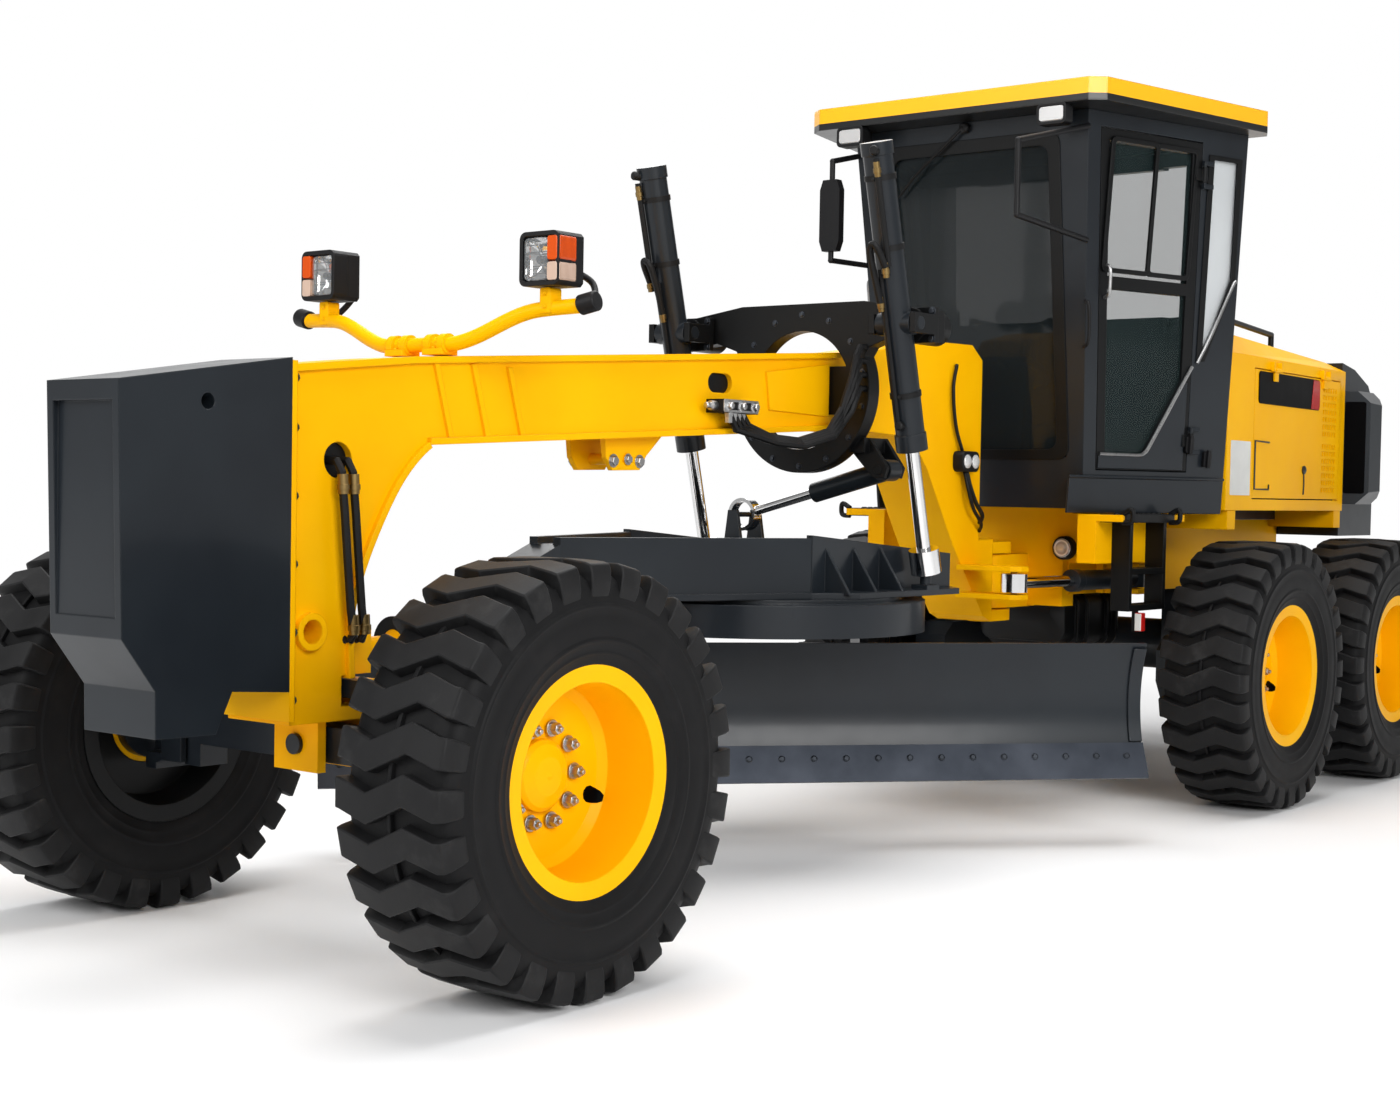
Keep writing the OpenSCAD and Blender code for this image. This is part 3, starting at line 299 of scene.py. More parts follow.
def smooth_group():
    """Shade smooth below an edge angle, as a modifier."""
    g = bpy.data.node_groups.new("smooth_by_angle", "GeometryNodeTree")
    g.interface.new_socket("Geometry", in_out="INPUT", socket_type="NodeSocketGeometry")
    g.interface.new_socket("Geometry", in_out="OUTPUT", socket_type="NodeSocketGeometry")
    n = g.nodes.new
    start, end = n("NodeGroupInput"), n("NodeGroupOutput")
    faces, edges = n("GeometryNodeSetShadeSmooth"), n("GeometryNodeSetShadeSmooth")
    edges.domain = "EDGE"
    angle, small = n("GeometryNodeInputMeshEdgeAngle"), n("FunctionNodeCompare")
    small.operation = "LESS_THAN"
    small.inputs[1].default_value = SMOOTH_BELOW
    link = g.links.new
    link(start.outputs[0], faces.inputs["Geometry"])
    link(faces.outputs[0], edges.inputs["Geometry"])
    link(angle.outputs["Unsigned Angle"], small.inputs[0])
    link(small.outputs[0], edges.inputs["Shade Smooth"])
    link(edges.outputs[0], end.inputs[0])
    return g


SMOOTH = smooth_group()


def finish_node(name, key):
    """Gives a frame node its material and smooth shading."""
    obj = frame["nodes"][name]
    obj.data.materials.clear()
    obj.data.materials.append(M[key])
    mod = obj.modifiers.new("smooth", "NODES")
    mod.node_group = SMOOTH


NODE_FINISH = {
    "roof": "cab_roof",
    "yellow": "rear_frame engine_hood left_engine_door right_engine_door front_frame headlamp_bar",
    "grey": "tandem_axle cab_shell radiator_guard front_weight front_axle left_lean_bracket "
            "right_lean_bracket left_knuckle right_knuckle lean_bar drawbar circle blade_carrier moldboard "
            "left_lift_barrel right_lift_barrel shift_barrel left_articulation_barrel "
            "right_articulation_barrel engine_block",
    "black": "lift_saddle left_door right_door ladders hood_rail",
    "plastic": "steering_console mirrors work_lamps headlamps",
    "hose": "hydraulic_hoses",
    "seat": "operator_seat",
    "chrome": "tie_rod left_lift_rod right_lift_rod shift_rod left_articulation_rod right_articulation_rod",
    "worn": "cutting_edge",
    "glass": "cab_glass",
    "door_glass": "left_door_glass right_door_glass",
}
for key, names in NODE_FINISH.items():
    for node_name in names.split():
        finish_node(node_name, key)
WHEELS = [f"{a}_{b}" for a in ("front", "mid", "rear") for b in ("left", "right")]
for wheel_name in WHEELS:
    finish_node(f"{wheel_name}_tyre", "rubber")
    finish_node(f"{wheel_name}_rim", "yellow")

# Shapes


def spline(points, steps=6):
    """Points of a smooth curve through the given ones."""
    pts = [Vector(p) for p in points]
    ext = [pts[0] * 2 - pts[1], *pts, pts[-1] * 2 - pts[-2]]
    out = []
    for a, b, c, d in zip(ext, ext[1:], ext[2:], ext[3:]):
        for k in range(steps):
            t = k / steps
            bow = (a * 2 - b * 5 + c * 4 - d) * t**2
            twist = (b * 3 - a - c * 3 + d) * t**3
            out.append((b * 2 + (c - a) * t + bow + twist) / 2)
    out.append(pts[-1])
    return out


def turns(steps):
    """Angles of equal steps in one turn."""
    return [2 * math.pi * k / steps for k in range(steps)]


def round_axis(axis):
    """The unit axis and two unit directions square to it."""
    axis = Vector(axis).normalized()
    across = axis.orthogonal().normalized()
    return axis, across, axis.cross(across)


def circle(centre, across, side, r, steps):
    """Points of a circle in the plane of two unit directions; r in millimetres."""
    return [centre + (across * math.cos(a) + side * math.sin(a)) * r * MM for a in turns(steps)]


class Shape:
    """Gathers closed forms in one mesh, then makes it a piece on a body."""

    def __init__(self):
        self.verts = []
        self.faces = []

    def loft(self, rings, around=False):
        """Skin over rings of equal count, capped at both ends or joined all round."""
        base, n, m = len(self.verts), len(rings[0]), len(rings)
        for ring in rings:
            self.verts += [Vector(p) for p in ring]
        for i in range(m if around else m - 1):
            j = (i + 1) % m
            for k in range(n):
                q = (k + 1) % n
                self.faces.append((base + i * n + k, base + i * n + q, base + j * n + q, base + j * n + k))
        if not around:
            self.faces.append(tuple(base + k for k in reversed(range(n))))
            self.faces.append(tuple(base + (m - 1) * n + k for k in range(n)))
        return self

    def box(self, lo, hi):
        """Block between two corners in millimetres."""
        (x0, y0, z0), (x1, y1, z1) = lo, hi
        foot = [at(x0, y0, z0), at(x1, y0, z0), at(x1, y1, z0), at(x0, y1, z0)]
        return self.loft([foot, [p + Vector((0, 0, (z1 - z0) * MM)) for p in foot]])

    def tube(self, path, r, sides=10):
        """Round tube along points; r in millimetres, one value or one per point."""
        pts = [Vector(p) for p in path]
        radii = r if isinstance(r, (list, tuple)) else [r] * len(pts)
        across = None
        rings = []
        for i, p in enumerate(pts):
            along = (pts[min(i + 1, len(pts) - 1)] - pts[max(i - 1, 0)]).normalized()
            across = along.orthogonal() if across is None else across - along * across.dot(along)
            across.normalize()
            rings.append(circle(p, across, along.cross(across), radii[i], sides))
        return self.loft(rings)

    def turned(self, profile, centre, axis, steps=32):
        """Closed profile of (radius, along) turned about an axis."""
        axis, across, side = round_axis(axis)
        rings = []
        for a in turns(steps):
            out = across * math.cos(a) + side * math.sin(a)
            rings.append([centre + out * r * MM + axis * h * MM for r, h in profile])
        return self.loft(rings, around=True)

    def disc(self, centre, axis, profile, steps=24):
        """Solid of revolution from stations of (radius, along), capped flat at both ends."""
        axis, across, side = round_axis(axis)
        return self.loft([circle(centre + axis * h * MM, across, side, r, steps) for r, h in profile])

    def bolt(self, place, axis, r, h=None):
        """Hex head on a washer."""
        h = h or r * 0.8
        self.disc(place, axis, [(r * 1.35, 0), (r * 1.35, h * 0.2)], 16)
        return self.disc(place, axis, [(r, h * 0.15), (r, h * 0.85), (r * 0.86, h)], 6)

    def mirrored(self):
        """Adds the same forms on the machine's other side."""
        n = len(self.verts)
        self.faces += [tuple(i + n for i in reversed(f)) for f in self.faces]
        self.verts += [Vector((v.x, -v.y, v.z)) for v in self.verts]
        return self

    def piece(self, name, body, key, bevel=0.0, sharp=35):
        """Makes the piece; bevel in millimetres, at edges sharper than the given degrees."""
        mesh = bpy.data.meshes.new(name)
        mesh.from_pydata([tuple(v) for v in self.verts], [], self.faces)
        bm = bmesh.new()
        bm.from_mesh(mesh)
        bmesh.ops.recalc_face_normals(bm, faces=bm.faces)
        for face in bm.faces:
            face.smooth = True
        for edge in bm.edges:
            edge.smooth = edge.is_manifold and edge.calc_face_angle(0) < math.radians(sharp)
        bm.to_mesh(mesh)
        bm.free()
        obj = put(name, mesh)
        mesh.materials.append(M[key])
        if bevel:
            mod = obj.modifiers.new("soft_edge", "BEVEL")
            mod.width = bevel * MM
            mod.segments = 2
            mod.limit_method = "ANGLE"
            mod.angle_limit = math.radians(sharp)
        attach(obj, body)
        return obj


# Wheels: radii and places across them in millimetres, for a tyre of the nominal radius

NOMINAL_R = 675
TYRE_STEPS = 112
# Half of the carcass from the crown to the bead: radius, across
CARCASS = [(637, 0), (635, 120), (629, 175), (613, 200), (580, 213), (545, 217), (541, 221), (533, 222),
           (529, 219.5), (500, 221.5), (475, 222), (440, 218), (436, 221), (428, 221), (424, 217), (400, 208),
           (392, 209), (385, 203), (368, 196), (324, 178), (322, 150)]
# Rib that ties the lugs along the middle
TIE_RIB = [(600, -9), (652, -7), (652, 7), (600, 9)]
LUGS = 28
LUG_SHARE = 0.62
ZIG = 33.0
# Stations across a lug from the outer shoulder in: across, crown radius, share of the zigzag
LUG_LINE = [(214, 560, 0), (221, 590, 0), (220, 640, 0), (212, 662, 0), (190, 669, 0), (75, 674, 1)]
# A lug's foot lies inside the carcass: share of the width, radius at most, depth at least, spread
FOOT_SHARE = 0.86
FOOT_R = 612
FOOT_DEPTH = 12
FOOT_SPREAD = 1.12
NUTS = 10
NUT_RING = 150
# Slot in the wheel disc, drawn as a black sheet of painted shade where the hole looks dark: radius, half
# width and place across the disc, at one angle
SLOT_SHADE_LINE = [(213, 6, -18.8), (221, 20, -18), (235, 27, -16.4), (257, 25, -14), (272, 20, -4), (285, 10, 4.5)]
SLOT_SHADE_ANGLE = math.radians(200)
# Painted shade: a black sheet over the inside of each wheel, which is only shaded: radius, across
INNER_SHADE = [(358, -193), (300, -190), (292, -120), (282, -44), (150, -63), (150, -66), (270, -64), (286, -122),
         (296, -194), (356, -197)]
INNER_SHADE_STEPS = 64


class Wheel:
    """A wheel's name, centre and side: 1 for left, -1 for right."""

    def __init__(self, name):
        lo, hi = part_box(f"{name}_tyre")
        self.name = name
        self.centre = (Vector(lo) + Vector(hi)) / 2
        self.side = 1 if self.centre.y > 0 else -1

    def at(self, a, r, y):
        """A point at an angle, a radius and a place across, outwards."""
        return self.centre + Vector((math.cos(a) * r, self.side * y, math.sin(a) * r)) * MM

    def revolved(self, shape, profile, steps):
        """Adds a closed profile of (radius, across), turned about the axle."""
        return shape.loft([[self.at(a, r, y) for r, y in profile] for a in turns(steps)], around=True)

    def piece(self, shape, name, key, **edge):
        return shape.piece(f"{self.name}_{name}", f"{self.name}_wheel", key, **edge)


def carcass(wheel, scale):
    half = [(r * scale, y) for r, y in CARCASS]
    s = wheel.revolved(Shape(), half + [(r, -y) for r, y in reversed(half[1:])], TYRE_STEPS)
    wheel.revolved(s, [(r * scale, y) for r, y in TIE_RIB], TYRE_STEPS)
    obj = wheel.piece(s, "carcass", "rubber", bevel=3, sharp=38)
    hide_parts(f"{wheel.name}_tyre")


def tread(wheel, scale):
    """Lugs that run from shoulder to shoulder with a zigzag in the middle."""
    line = LUG_LINE + [(-y, r, -z) for y, r, z in reversed(LUG_LINE)]
    half = math.pi / LUGS * LUG_SHARE
    foot = half * FOOT_SPREAD
    s = Shape()
    for turn in turns(LUGS):
        rings = []
        for y, r, zig in line:
            a = turn + zig * ZIG / NOMINAL_R
            foot_y = y * FOOT_SHARE
            foot_r = min(r - FOOT_DEPTH, FOOT_R)
            rings.append([wheel.at(a - foot, foot_r * scale, foot_y), wheel.at(a - half, r * scale, y),
                          wheel.at(a + half, r * scale, y), wheel.at(a + foot, foot_r * scale, foot_y)])
        s.loft(rings)
    wheel.piece(s, "tread", "lug", bevel=5, sharp=38)


def wheel_disc(wheel):
    """Nuts on their studs, and the slot as a black sheet of painted shade."""
    out = (0, wheel.side, 0)
    s = Shape()
    for a in turns(NUTS):
        s.bolt(wheel.at(a, NUT_RING, -18), out, 20, 34)
        s.disc(wheel.at(a, NUT_RING, 10), out, [(9, 0), (9, 16), (7, 19)], 12)
    wheel.piece(s, "nuts", "steel", bevel=1.5)
    # Painted shade: a gloss black sheet stands for the dark hole of the slot
    s = Shape()
    section = ((-1, -3), (1, -3), (1, 1.5), (-1, 1.5))
    s.loft([[wheel.at(SLOT_SHADE_ANGLE + k * w / r, r, y + d) for k, d in section] for r, w, y in SLOT_SHADE_LINE])
    wheel.piece(s, "slot", "gloss")


def wheel_inner_shade(wheel):
    # Painted shade: a black sheet that darkens the wheel's inside
    wheel.piece(wheel.revolved(Shape(), INNER_SHADE, INNER_SHADE_STEPS), "inner_shade", "black")


for wheel_name in WHEELS:
    wheel = Wheel(wheel_name)
    tyre_scale = TYRE_R / MM / NOMINAL_R
    carcass(wheel, tyre_scale)
    tread(wheel, tyre_scale)
    wheel_disc(wheel)
    wheel_inner_shade(wheel)

# Places on slanted faces, by the lines that the solids follow

# Cab: foot and height, left front corner, set and lean of the walls, turn of the door wall
CAB_FOOT = 1500
CAB_HEIGHT = 1900
CAB_CORNER = (-4280, 585)
SCREEN_SET = 60
SCREEN_LEAN = 210
WALL_SET = 15
WALL_LEAN = 93
CAB_TURN = math.atan2(290, 960)
# Hood: front end, half width there, length and narrowing to the rear
HOOD_X = -5310
HOOD_Y = 880
HOOD_LONG = 1890
HOOD_TAPER = 100
HOOD_TURN = math.atan2(HOOD_TAPER, HOOD_LONG)
# Blade: its turn about the circle's centre, and the arc of its face
CIRCLE_X = -2410
BLADE_TURN = math.radians(50)
BLADE_ARC_X = 506
BLADE_ARC_Z = 637
BLADE_ARC_R = 555
# Lift cylinders: trunnion and lean
TRUNNION = (-2600, 600, 2270)
LIFT_LEAN = math.atan2(265, 1030)
LIFT_ALONG = (math.sin(LIFT_LEAN), 0, math.cos(LIFT_LEAN))


def cab_wall(d, out, z):
    """On the cab's left wall: d behind its front corner, out from its face."""
    f = (z - CAB_FOOT) / CAB_HEIGHT
    c, s = math.cos(CAB_TURN), math.sin(CAB_TURN)
    n = (SCREEN_LEAN * f - SCREEN_SET) * s + (WALL_LEAN * f - WALL_SET) * c + out
    return at(CAB_CORNER[0] - d * c + n * s, CAB_CORNER[1] + d * s + n * c, z)


def screen(y, out, z):
    """On the windscreen's plane."""
    return at(CAB_CORNER[0] - SCREEN_SET + SCREEN_LEAN * (z - CAB_FOOT) / CAB_HEIGHT + out, y, z)


def hood_wall(x, out, z):
    """On the hood's left side."""
    y = HOOD_Y - HOOD_TAPER * (HOOD_X - x) / HOOD_LONG
    return at(x - out * math.sin(HOOD_TURN), y + out, z)


def blade(x, y, z):
    """In the blade's own upright plane: x ahead of it, y along it."""
    c, s = math.cos(BLADE_TURN), math.sin(BLADE_TURN)
    return at(CIRCLE_X + x * c - y * s, x * s + y * c, z)


def blade_face(z):
    """How far ahead of the blade's plane its curved face is at a height."""
    return BLADE_ARC_X - math.sqrt(BLADE_ARC_R**2 - (z - BLADE_ARC_Z) ** 2)


def lift(x, y, s, side=1):
    """Beside a lift cylinder: x ahead of its axis, y outboard, s along it from the trunnion."""
    c, n = math.cos(LIFT_LEAN), math.sin(LIFT_LEAN)
    return at(TRUNNION[0] + x * c + s * n, side * (TRUNNION[1] + y), TRUNNION[2] - x * n + s * c)


def plate(shape, place, outline, lo, hi):
    """A sheet on a slanted face, from lo to hi millimetres out of it."""
    return shape.loft([[place(u, lo, v) for u, v in outline], [place(u, hi, v) for u, v in outline]])


def ring(shape, place, outer, inner, lo, hi):
    """A flat border between two outlines of equal count."""
    rows = []
    for (u0, v0), (u1, v1) in zip(outer, inner):
        rows.append([place(u0, lo, v0), place(u1, lo, v1), place(u1, hi, v1), place(u0, hi, v0)])
    return shape.loft(rows, around=True)


def about(outline, centre, grow_u, grow_v):
    """An outline scaled about a centre."""
    u0, v0 = centre
    return [(u0 + (u - u0) * grow_u, v0 + (v - v0) * grow_v) for u, v in outline]


def rounded(u0, v0, u1, v1, r, steps=5):
    """Outline of a rectangle with round corners."""
    out = []
    corners = ((u1 - r, v1 - r, 0), (u0 + r, v1 - r, 90), (u0 + r, v0 + r, 180), (u1 - r, v0 + r, 270))
    for cu, cv, start in corners:
        for k in range(steps + 1):
            a = math.radians(start + 90 * k / steps)
            out.append((cu + r * math.cos(a), cv + r * math.sin(a)))
    return out


def curve(place, points, steps=6):
    """A smooth curve through points that are given in a face's own terms."""
    return spline([place(*p) for p in points], steps)


def facing(x, side=1):
    """Places on an upright plane across the machine: u outboard, out ahead, v up."""
    def place(u, out, v):
        return at(x + out, side * u, v)

    return place


def pair(make, name, bodies, key, **edge):
    """The same forms on the left and, mirrored, on the right body."""
    shape = make(Shape())
    shape.piece(f"left_{name}", bodies[0], key, **edge)
    other = Shape()
    other.verts = [Vector((v.x, -v.y, v.z)) for v in shape.verts]
    other.faces = [tuple(reversed(f)) for f in shape.faces]
    other.piece(f"right_{name}", bodies[1], key, **edge)


# Cab


def door_skin(s):
    foot = [(128, 1700), (732, 1700), (716, 2140), (682, 2140), (462, 1800), (440, 1778), (410, 1768),
            (128, 1768)]
    return plate(s, cab_wall, foot, 0.5, 7)


def door_trim(s):
    line = [(128, 1770), (300, 1769), (410, 1770), (446, 1782), (472, 1808), (560, 1944), (688, 2146),
            (738, 2222)]
    return s.tube(spline([cab_wall(d, 8, z) for d, z in line], 4), 9, 8)


def door_frames(s):
    ring(s, cab_wall, rounded(40, 2645, 372, 3292, 30), rounded(66, 2668, 350, 3268, 16), 2, 14)
    return ring(s, cab_wall, rounded(352, 2645, 664, 3292, 30), rounded(378, 2668, 640, 3268, 16), -4, 8)


def door_handle(s):
    run = [(72, 4, 2680), (72, 34, 2664), (76, 38, 2600), (78, 34, 2540), (80, 4, 2524)]
    return s.tube(curve(cab_wall, run, 5), 9, 10)


CAB_DOORS = ("left_cab_door", "right_cab_door")
pair(door_skin, "door_skin", CAB_DOORS, "grey", bevel=2)
pair(door_trim, "door_trim", CAB_DOORS, "bright")
pair(door_frames, "door_frames", CAB_DOORS, "black", bevel=2)
pair(door_handle, "door_handle", CAB_DOORS, "steel")


def corner_trim():
    """Bright line of the lower rear panel."""
    line = [(772, 9, 2240), (860, 9, 2390), (985, 9, 2640), (1005, 9, 2662)]
    s = Shape().tube(curve(cab_wall, line, 4), 9, 8)
    s.mirrored().piece("corner_trim", "rear_frame", "bright")


def pane_borders():
    """Dark borders of the quarter panes and the windscreen."""
    outer = [(768, 2250), (738, 3275), (985, 3275), (1008, 2660), (830, 2252)]
    inner = [(808, 2290), (778, 3252), (950, 3252), (975, 2680), (834, 2330)]
    s = ring(Shape(), cab_wall, outer, inner, 1, 6).mirrored()
    ring(s, screen, rounded(-505, 1738, 505, 3315, 60), rounded(-440, 1790, 440, 3250, 50), 1, 6)
    s.piece("pane_borders", "rear_frame", "black", bevel=1.5)


def cab_skirt():
    s = plate(Shape(), cab_wall, [(-66, 1480), (1040, 1480), (1040, 1655), (-66, 1655)], 0.5, 14)
    s.tube([cab_wall(-70, 14, 1657), cab_wall(1040, 14, 1657)], 8, 8)
    s.mirrored().piece("cab_skirt", "rear_frame", "grey", bevel=4)


def cab_fittings():
    """Door hinges, the wiper and a grab handle."""
    s = Shape()
    for d, z in ((900, 1760), (760, 1830)):
        plate(s, cab_wall, rounded(d - 28, z - 40, d + 28, z + 40, 10), 6, 22)
        s.tube([cab_wall(d, 26, z - 46), cab_wall(d, 26, z + 46)], 12, 10)
    s.mirrored()
    # Wiper: motor boss, arm and blade
    s.disc(screen(-10, 0, 3370), (1, 0, 0), [(26, 0), (26, 30), (18, 38)])
    s.tube([screen(-10, 34, 3370), screen(-190, 32, 3240), screen(-330, 22, 3140)], [9, 7, 5], 8)
    s.tube([screen(-235, 14, 3230), screen(-330, 18, 3140), screen(-420, 12, 3055)], [5, 8, 5], 6)
    # Grab handle on the left pillar
    run = [(-48, 2, 2500), (-52, 34, 2480), (-40, 38, 2380), (-36, 34, 2300), (-34, 2, 2280)]
    s.tube(curve(cab_wall, run, 5), 9, 10)
    s.piece("cab_fittings", "rear_frame", "plastic", bevel=1.5)


def roof_lamps():
    glass = Shape()
    shell = Shape()
    mid_z = 3355
    for side in (1, -1):
        y0, y1 = sorted((side * 506, side * 634))
        face = rounded(y0, 3318, y1, 3392, 14)
        front = [(y * 0.985 + side * 8.5, mid_z + (z - mid_z) * 0.86) for y, z in face]
        glass.loft([[at(-3941, y, z) for y, z in face], [at(-3930, y, z) for y, z in front]])
        ring(shell, facing(-3940), rounded(y0 - 14, 3304, y1 + 14, 3404, 22), face, -60, 10)
    glass.piece("roof_lamp_lenses", "rear_frame", "lamp", bevel=1)
    shell.piece("roof_lamp_shells", "rear_frame", "plastic", bevel=2)


def pad(s, centre, size, lean, crown):
    """Stuffed pad: square with soft corners, drawn in at both ends and crowned."""
    square = 0.45
    stations = 13
    end_share = 0.05
    rows = []
    for k in range(stations):
        t = k / (stations - 1) * 2 - 1
        fall = (1 - abs(t) ** 5) ** 0.4 if abs(t) < 1 else end_share
        w = t * size[2] / 2
        row = []
        for a in turns(24):
            c, n = math.cos(a), math.sin(a)
            u = math.copysign(abs(c) ** square, c) * size[0] / 2 * (0.35 + 0.65 * fall)
            v = math.copysign(abs(n) ** square, n) * size[1] / 2 * (0.5 + 0.5 * fall)
            v += crown * (1 - (u / size[0]) ** 2)
            row.append(at(centre[0] + v * math.cos(lean) - w * math.sin(lean), centre[1] + u,
                          centre[2] + v * math.sin(lean) + w * math.cos(lean)))
        rows.append(row)
    s.loft(rows)


def operator_seat():
    """Cushion, back and two arm rests, on a post."""
    s = Shape()
    pad(s, (-4905, 0, 1865), (490, 440, 120), 0.06, 4)
    pad(s, (-5128, 0, 2190), (470, 105, 640), 0.1, 6)
    for y in (-262, 262):
        pad(s, (-4960, y, 2060), (50, 300, 48), 0.05, 0)
    obj = s.piece("seat_upholstery", "rear_frame", "seat", sharp=50)
    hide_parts("operator_seat")
    profile = [(150, 0), (150, 20), (95, 60), (95, 210), (170, 250), (170, 268)]
    Shape().disc(at(-4920, 0, 1541), (0, 0, 1), profile, 32).piece("seat_post", "rear_frame", "plastic")


def control_levers():
    s = Shape()
    for y in (-160, -120, -80, 80, 120, 160):
        s.tube([at(-4560, y, 2160), at(-4600, y, 2330)], 6, 8)
        s.disc(at(-4598, y, 2322), (-0.2, 0, 1), [(8, 0), (15, 10), (16, 26), (9, 38)], 12)
    s.piece("control_levers", "rear_frame", "plastic")


corner_trim()
pane_borders()
cab_skirt()
cab_fittings()
roof_lamps()
operator_seat()
control_levers()

# Hood and rear guard


def grille_painted_shade(s):
    # Painted shade: a gloss black sheet behind the grille's holes darkens the hood's inside
    return plate(s, hood_wall, [(-7075, 1585), (-6790, 1585), (-6790, 2240), (-7075, 2240)], -36, -31)


def side_window(s):
    return plate(s, hood_wall, rounded(-6735, 2073, -5750, 2246, 24), 0.5, 5)


def side_stripe(s):
    outline = [(-6585, 2077), (-6715, 2077), (-6731, 2093), (-6731, 2226), (-6715, 2242), (-6620, 2242)]
    return plate(s, hood_wall, outline, 5.2, 7)


def side_lock(s):
    """Lock with its cover, and the line of a flap."""
    s.disc(hood_wall(-6497, 0.5, 1729), (0, 1, 0), [(24, 0), (24, 8), (14, 14)])
    s.tube([hood_wall(-6497, 4, 1706), hood_wall(-6500, 5, 1640), hood_wall(-6494, 4, 1590)], 4, 6)
    flap = [(-5935, 3, 1640), (-5928, 4, 1614), (-5712, 4, 1614), (-5712, 4, 1872), (-5925, 4, 1868)]
    return s.tube([hood_wall(*p) for p in flap], 5, 8)


ENGINE_DOORS = ("left_engine_door", "right_engine_door")
pair(grille_painted_shade, "grille_painted_shade", ENGINE_DOORS, "gloss")
pair(side_window, "hood_window", ENGINE_DOORS, "gloss", bevel=1)
pair(side_stripe, "hood_stripe", ENGINE_DOORS, "red", bevel=0.8)
pair(side_lock, "hood_lock", ENGINE_DOORS, "dark_steel")


def pod_face(u, out, v):
    """On the front of the rear guard's left pod, which is swept back."""
    return at(-7209 + out - (u - 755) * 0.387, u, v)


def hood_trim():
    s = plate(Shape(), hood_wall, rounded(-5650, 1580, -5365, 1865, 6), 0.4, 2.4)
    s.piece("blank_plate", "rear_frame", "plate")
    s = plate(Shape(), pod_face, rounded(778, 1604, 888, 2146, 12), 0, 5)
    s.mirrored().piece("pod_mesh", "rear_frame", "gloss")
    run = [(-7400, 62, 1990), (-7404, 96, 1984), (-7408, 96, 1860), (-7404, 62, 1850)]
    s = Shape().tube(curve(hood_wall, run, 4), 9, 8)
    s.mirrored().piece("guard_handles", "rear_frame", "bright")


hood_trim()

# Front frame

HOSE_HOLE = (76, 1639)
WEB_SLOT = (-1970, 1998)


def openings_painted_shade():
    """Painted shade: black sheets inside the gooseneck's hole and the web's slot, which are only shaded."""
    x, z = HOSE_HOLE
    s = Shape().disc(at(x, -128, z), (0, 1, 0), [(59, 0), (59, 256)], 40)
    x, z = WEB_SLOT
    slot = [(x + math.copysign(40, math.cos(a)) + 39 * math.cos(a), z + 39 * math.sin(a)) for a in turns(40)]
    s.loft([[at(u, y, v) for u, v in slot] for y in (-134, 134)])
    s.piece("openings_painted_shade", "front_frame", "black")


def valve_fittings():
    """Plugs, hose ends and a border on the valve block at the web."""
    s = Shape()
    for x in (-2085, -2000, -1915):
        s.disc(at(x, 233, 1902), (0, 1, 0), [(24, 0), (24, 12), (16, 16), (16, 30), (11, 34)], 6)
    for i, x in enumerate((-2060, -2020, -1980, -1940)):
        s.disc(at(x, 197 + 9 * i, 1868), (0, 0, 1), [(17, -34), (17, -8), (20, -8), (20, 8)], 6)
    s.disc(at(-1880, 200, 1902), (1, 0, 0), [(20, -6), (20, 30), (13, 34), (13, 58), (9, 62)], 16)
    outer = rounded(-2118, 1876, -1884, 1928, 10)
    ring(s, lambda u, out, v: at(u, 239 + out, v), outer, rounded(-2104, 1886, -1898, 1918, 8), -4, 6)
    s.piece("valve_fittings", "front_frame", "steel", bevel=1)


def hose_ferrules():
    """Both ends of the two hoses below the gooseneck's hole."""
    s = Shape()
    for i in (-1, 1):
        for z in (1560, 1095):
            x = HOSE_HOLE[0] + 24 * i - (HOSE_HOLE[1] - z) * 0.117
            profile = [(18, -32), (18, -18), (21, -18), (21, 0), (18, 0), (18, 34)]
            s.disc(at(x + 3, 201, z), (0.06, 0, 1), profile, 12)
    s.piece("hose_ferrules", "front_frame", "brass", bevel=0.8)


def gooseneck_flange():
    """Flange strip round the gooseneck's inner curve."""
    line = [(-420, 1709), (-328, 1704), (-189, 1577), (-57, 1358), (20, 1159), (27, 1010), (22, 915)]
    steps = 8
    path = spline([at(x, 0, z) for x, z in line], steps)[steps:]
    section = ((-8, -175), (16, -175), (16, 175), (-8, 175))
    rows = []
    for i, p in enumerate(path):
        run = (path[min(i + 1, len(path) - 1)] - path[max(i - 1, 0)]).normalized()
        out = Vector((run.z, 0, -run.x)) * (1 if run.z < 0 else -1)
        rows.append([p + out * d * MM + Vector((0, y * MM, 0)) for d, y in section])
    Shape().loft(rows).piece("gooseneck_flange", "front_frame", "yellow", bevel=2)


def frame_bolts():
    """Bolts of the weight's plate, the saddle's caps and its ring."""
    s = Shape()
    for z in (860, 1080, 1300, 1520, 1740, 1900):
        for y in (-168, 168):
            s.bolt(at(270, y, z), (-1, 0, 0), 13)
    for side in (1, -1):
        for y in (-104, 104):
            for z in (-58, 58):
                s.bolt(at(-2705, side * (TRUNNION[1] + y), TRUNNION[2] + z), (1, 0, 0), 13)
    bolts, ring_r, ring_z = 14, 335, 2008
    for k in range(bolts):
        a = 2 * math.pi * (k + 0.5) / bolts
        s.bolt(at(-2750, ring_r * math.cos(a), ring_z + ring_r * math.sin(a)), (1, 0, 0), 11)
    s.piece("frame_bolts", "front_frame", "dark_steel", bevel=0.8)


def clevis_bolts():
    s = Shape()
    for x in (-1372, -1528):
        for side in (1, -1):
            s.bolt(at(x, side * 102, 1668), (0, side, 0), 20)
    s.bolt(at(-1450, 110, 1675), (0, 1, 0), 17)
    s.piece("clevis_bolts", "front_frame", "steel", bevel=0.8)


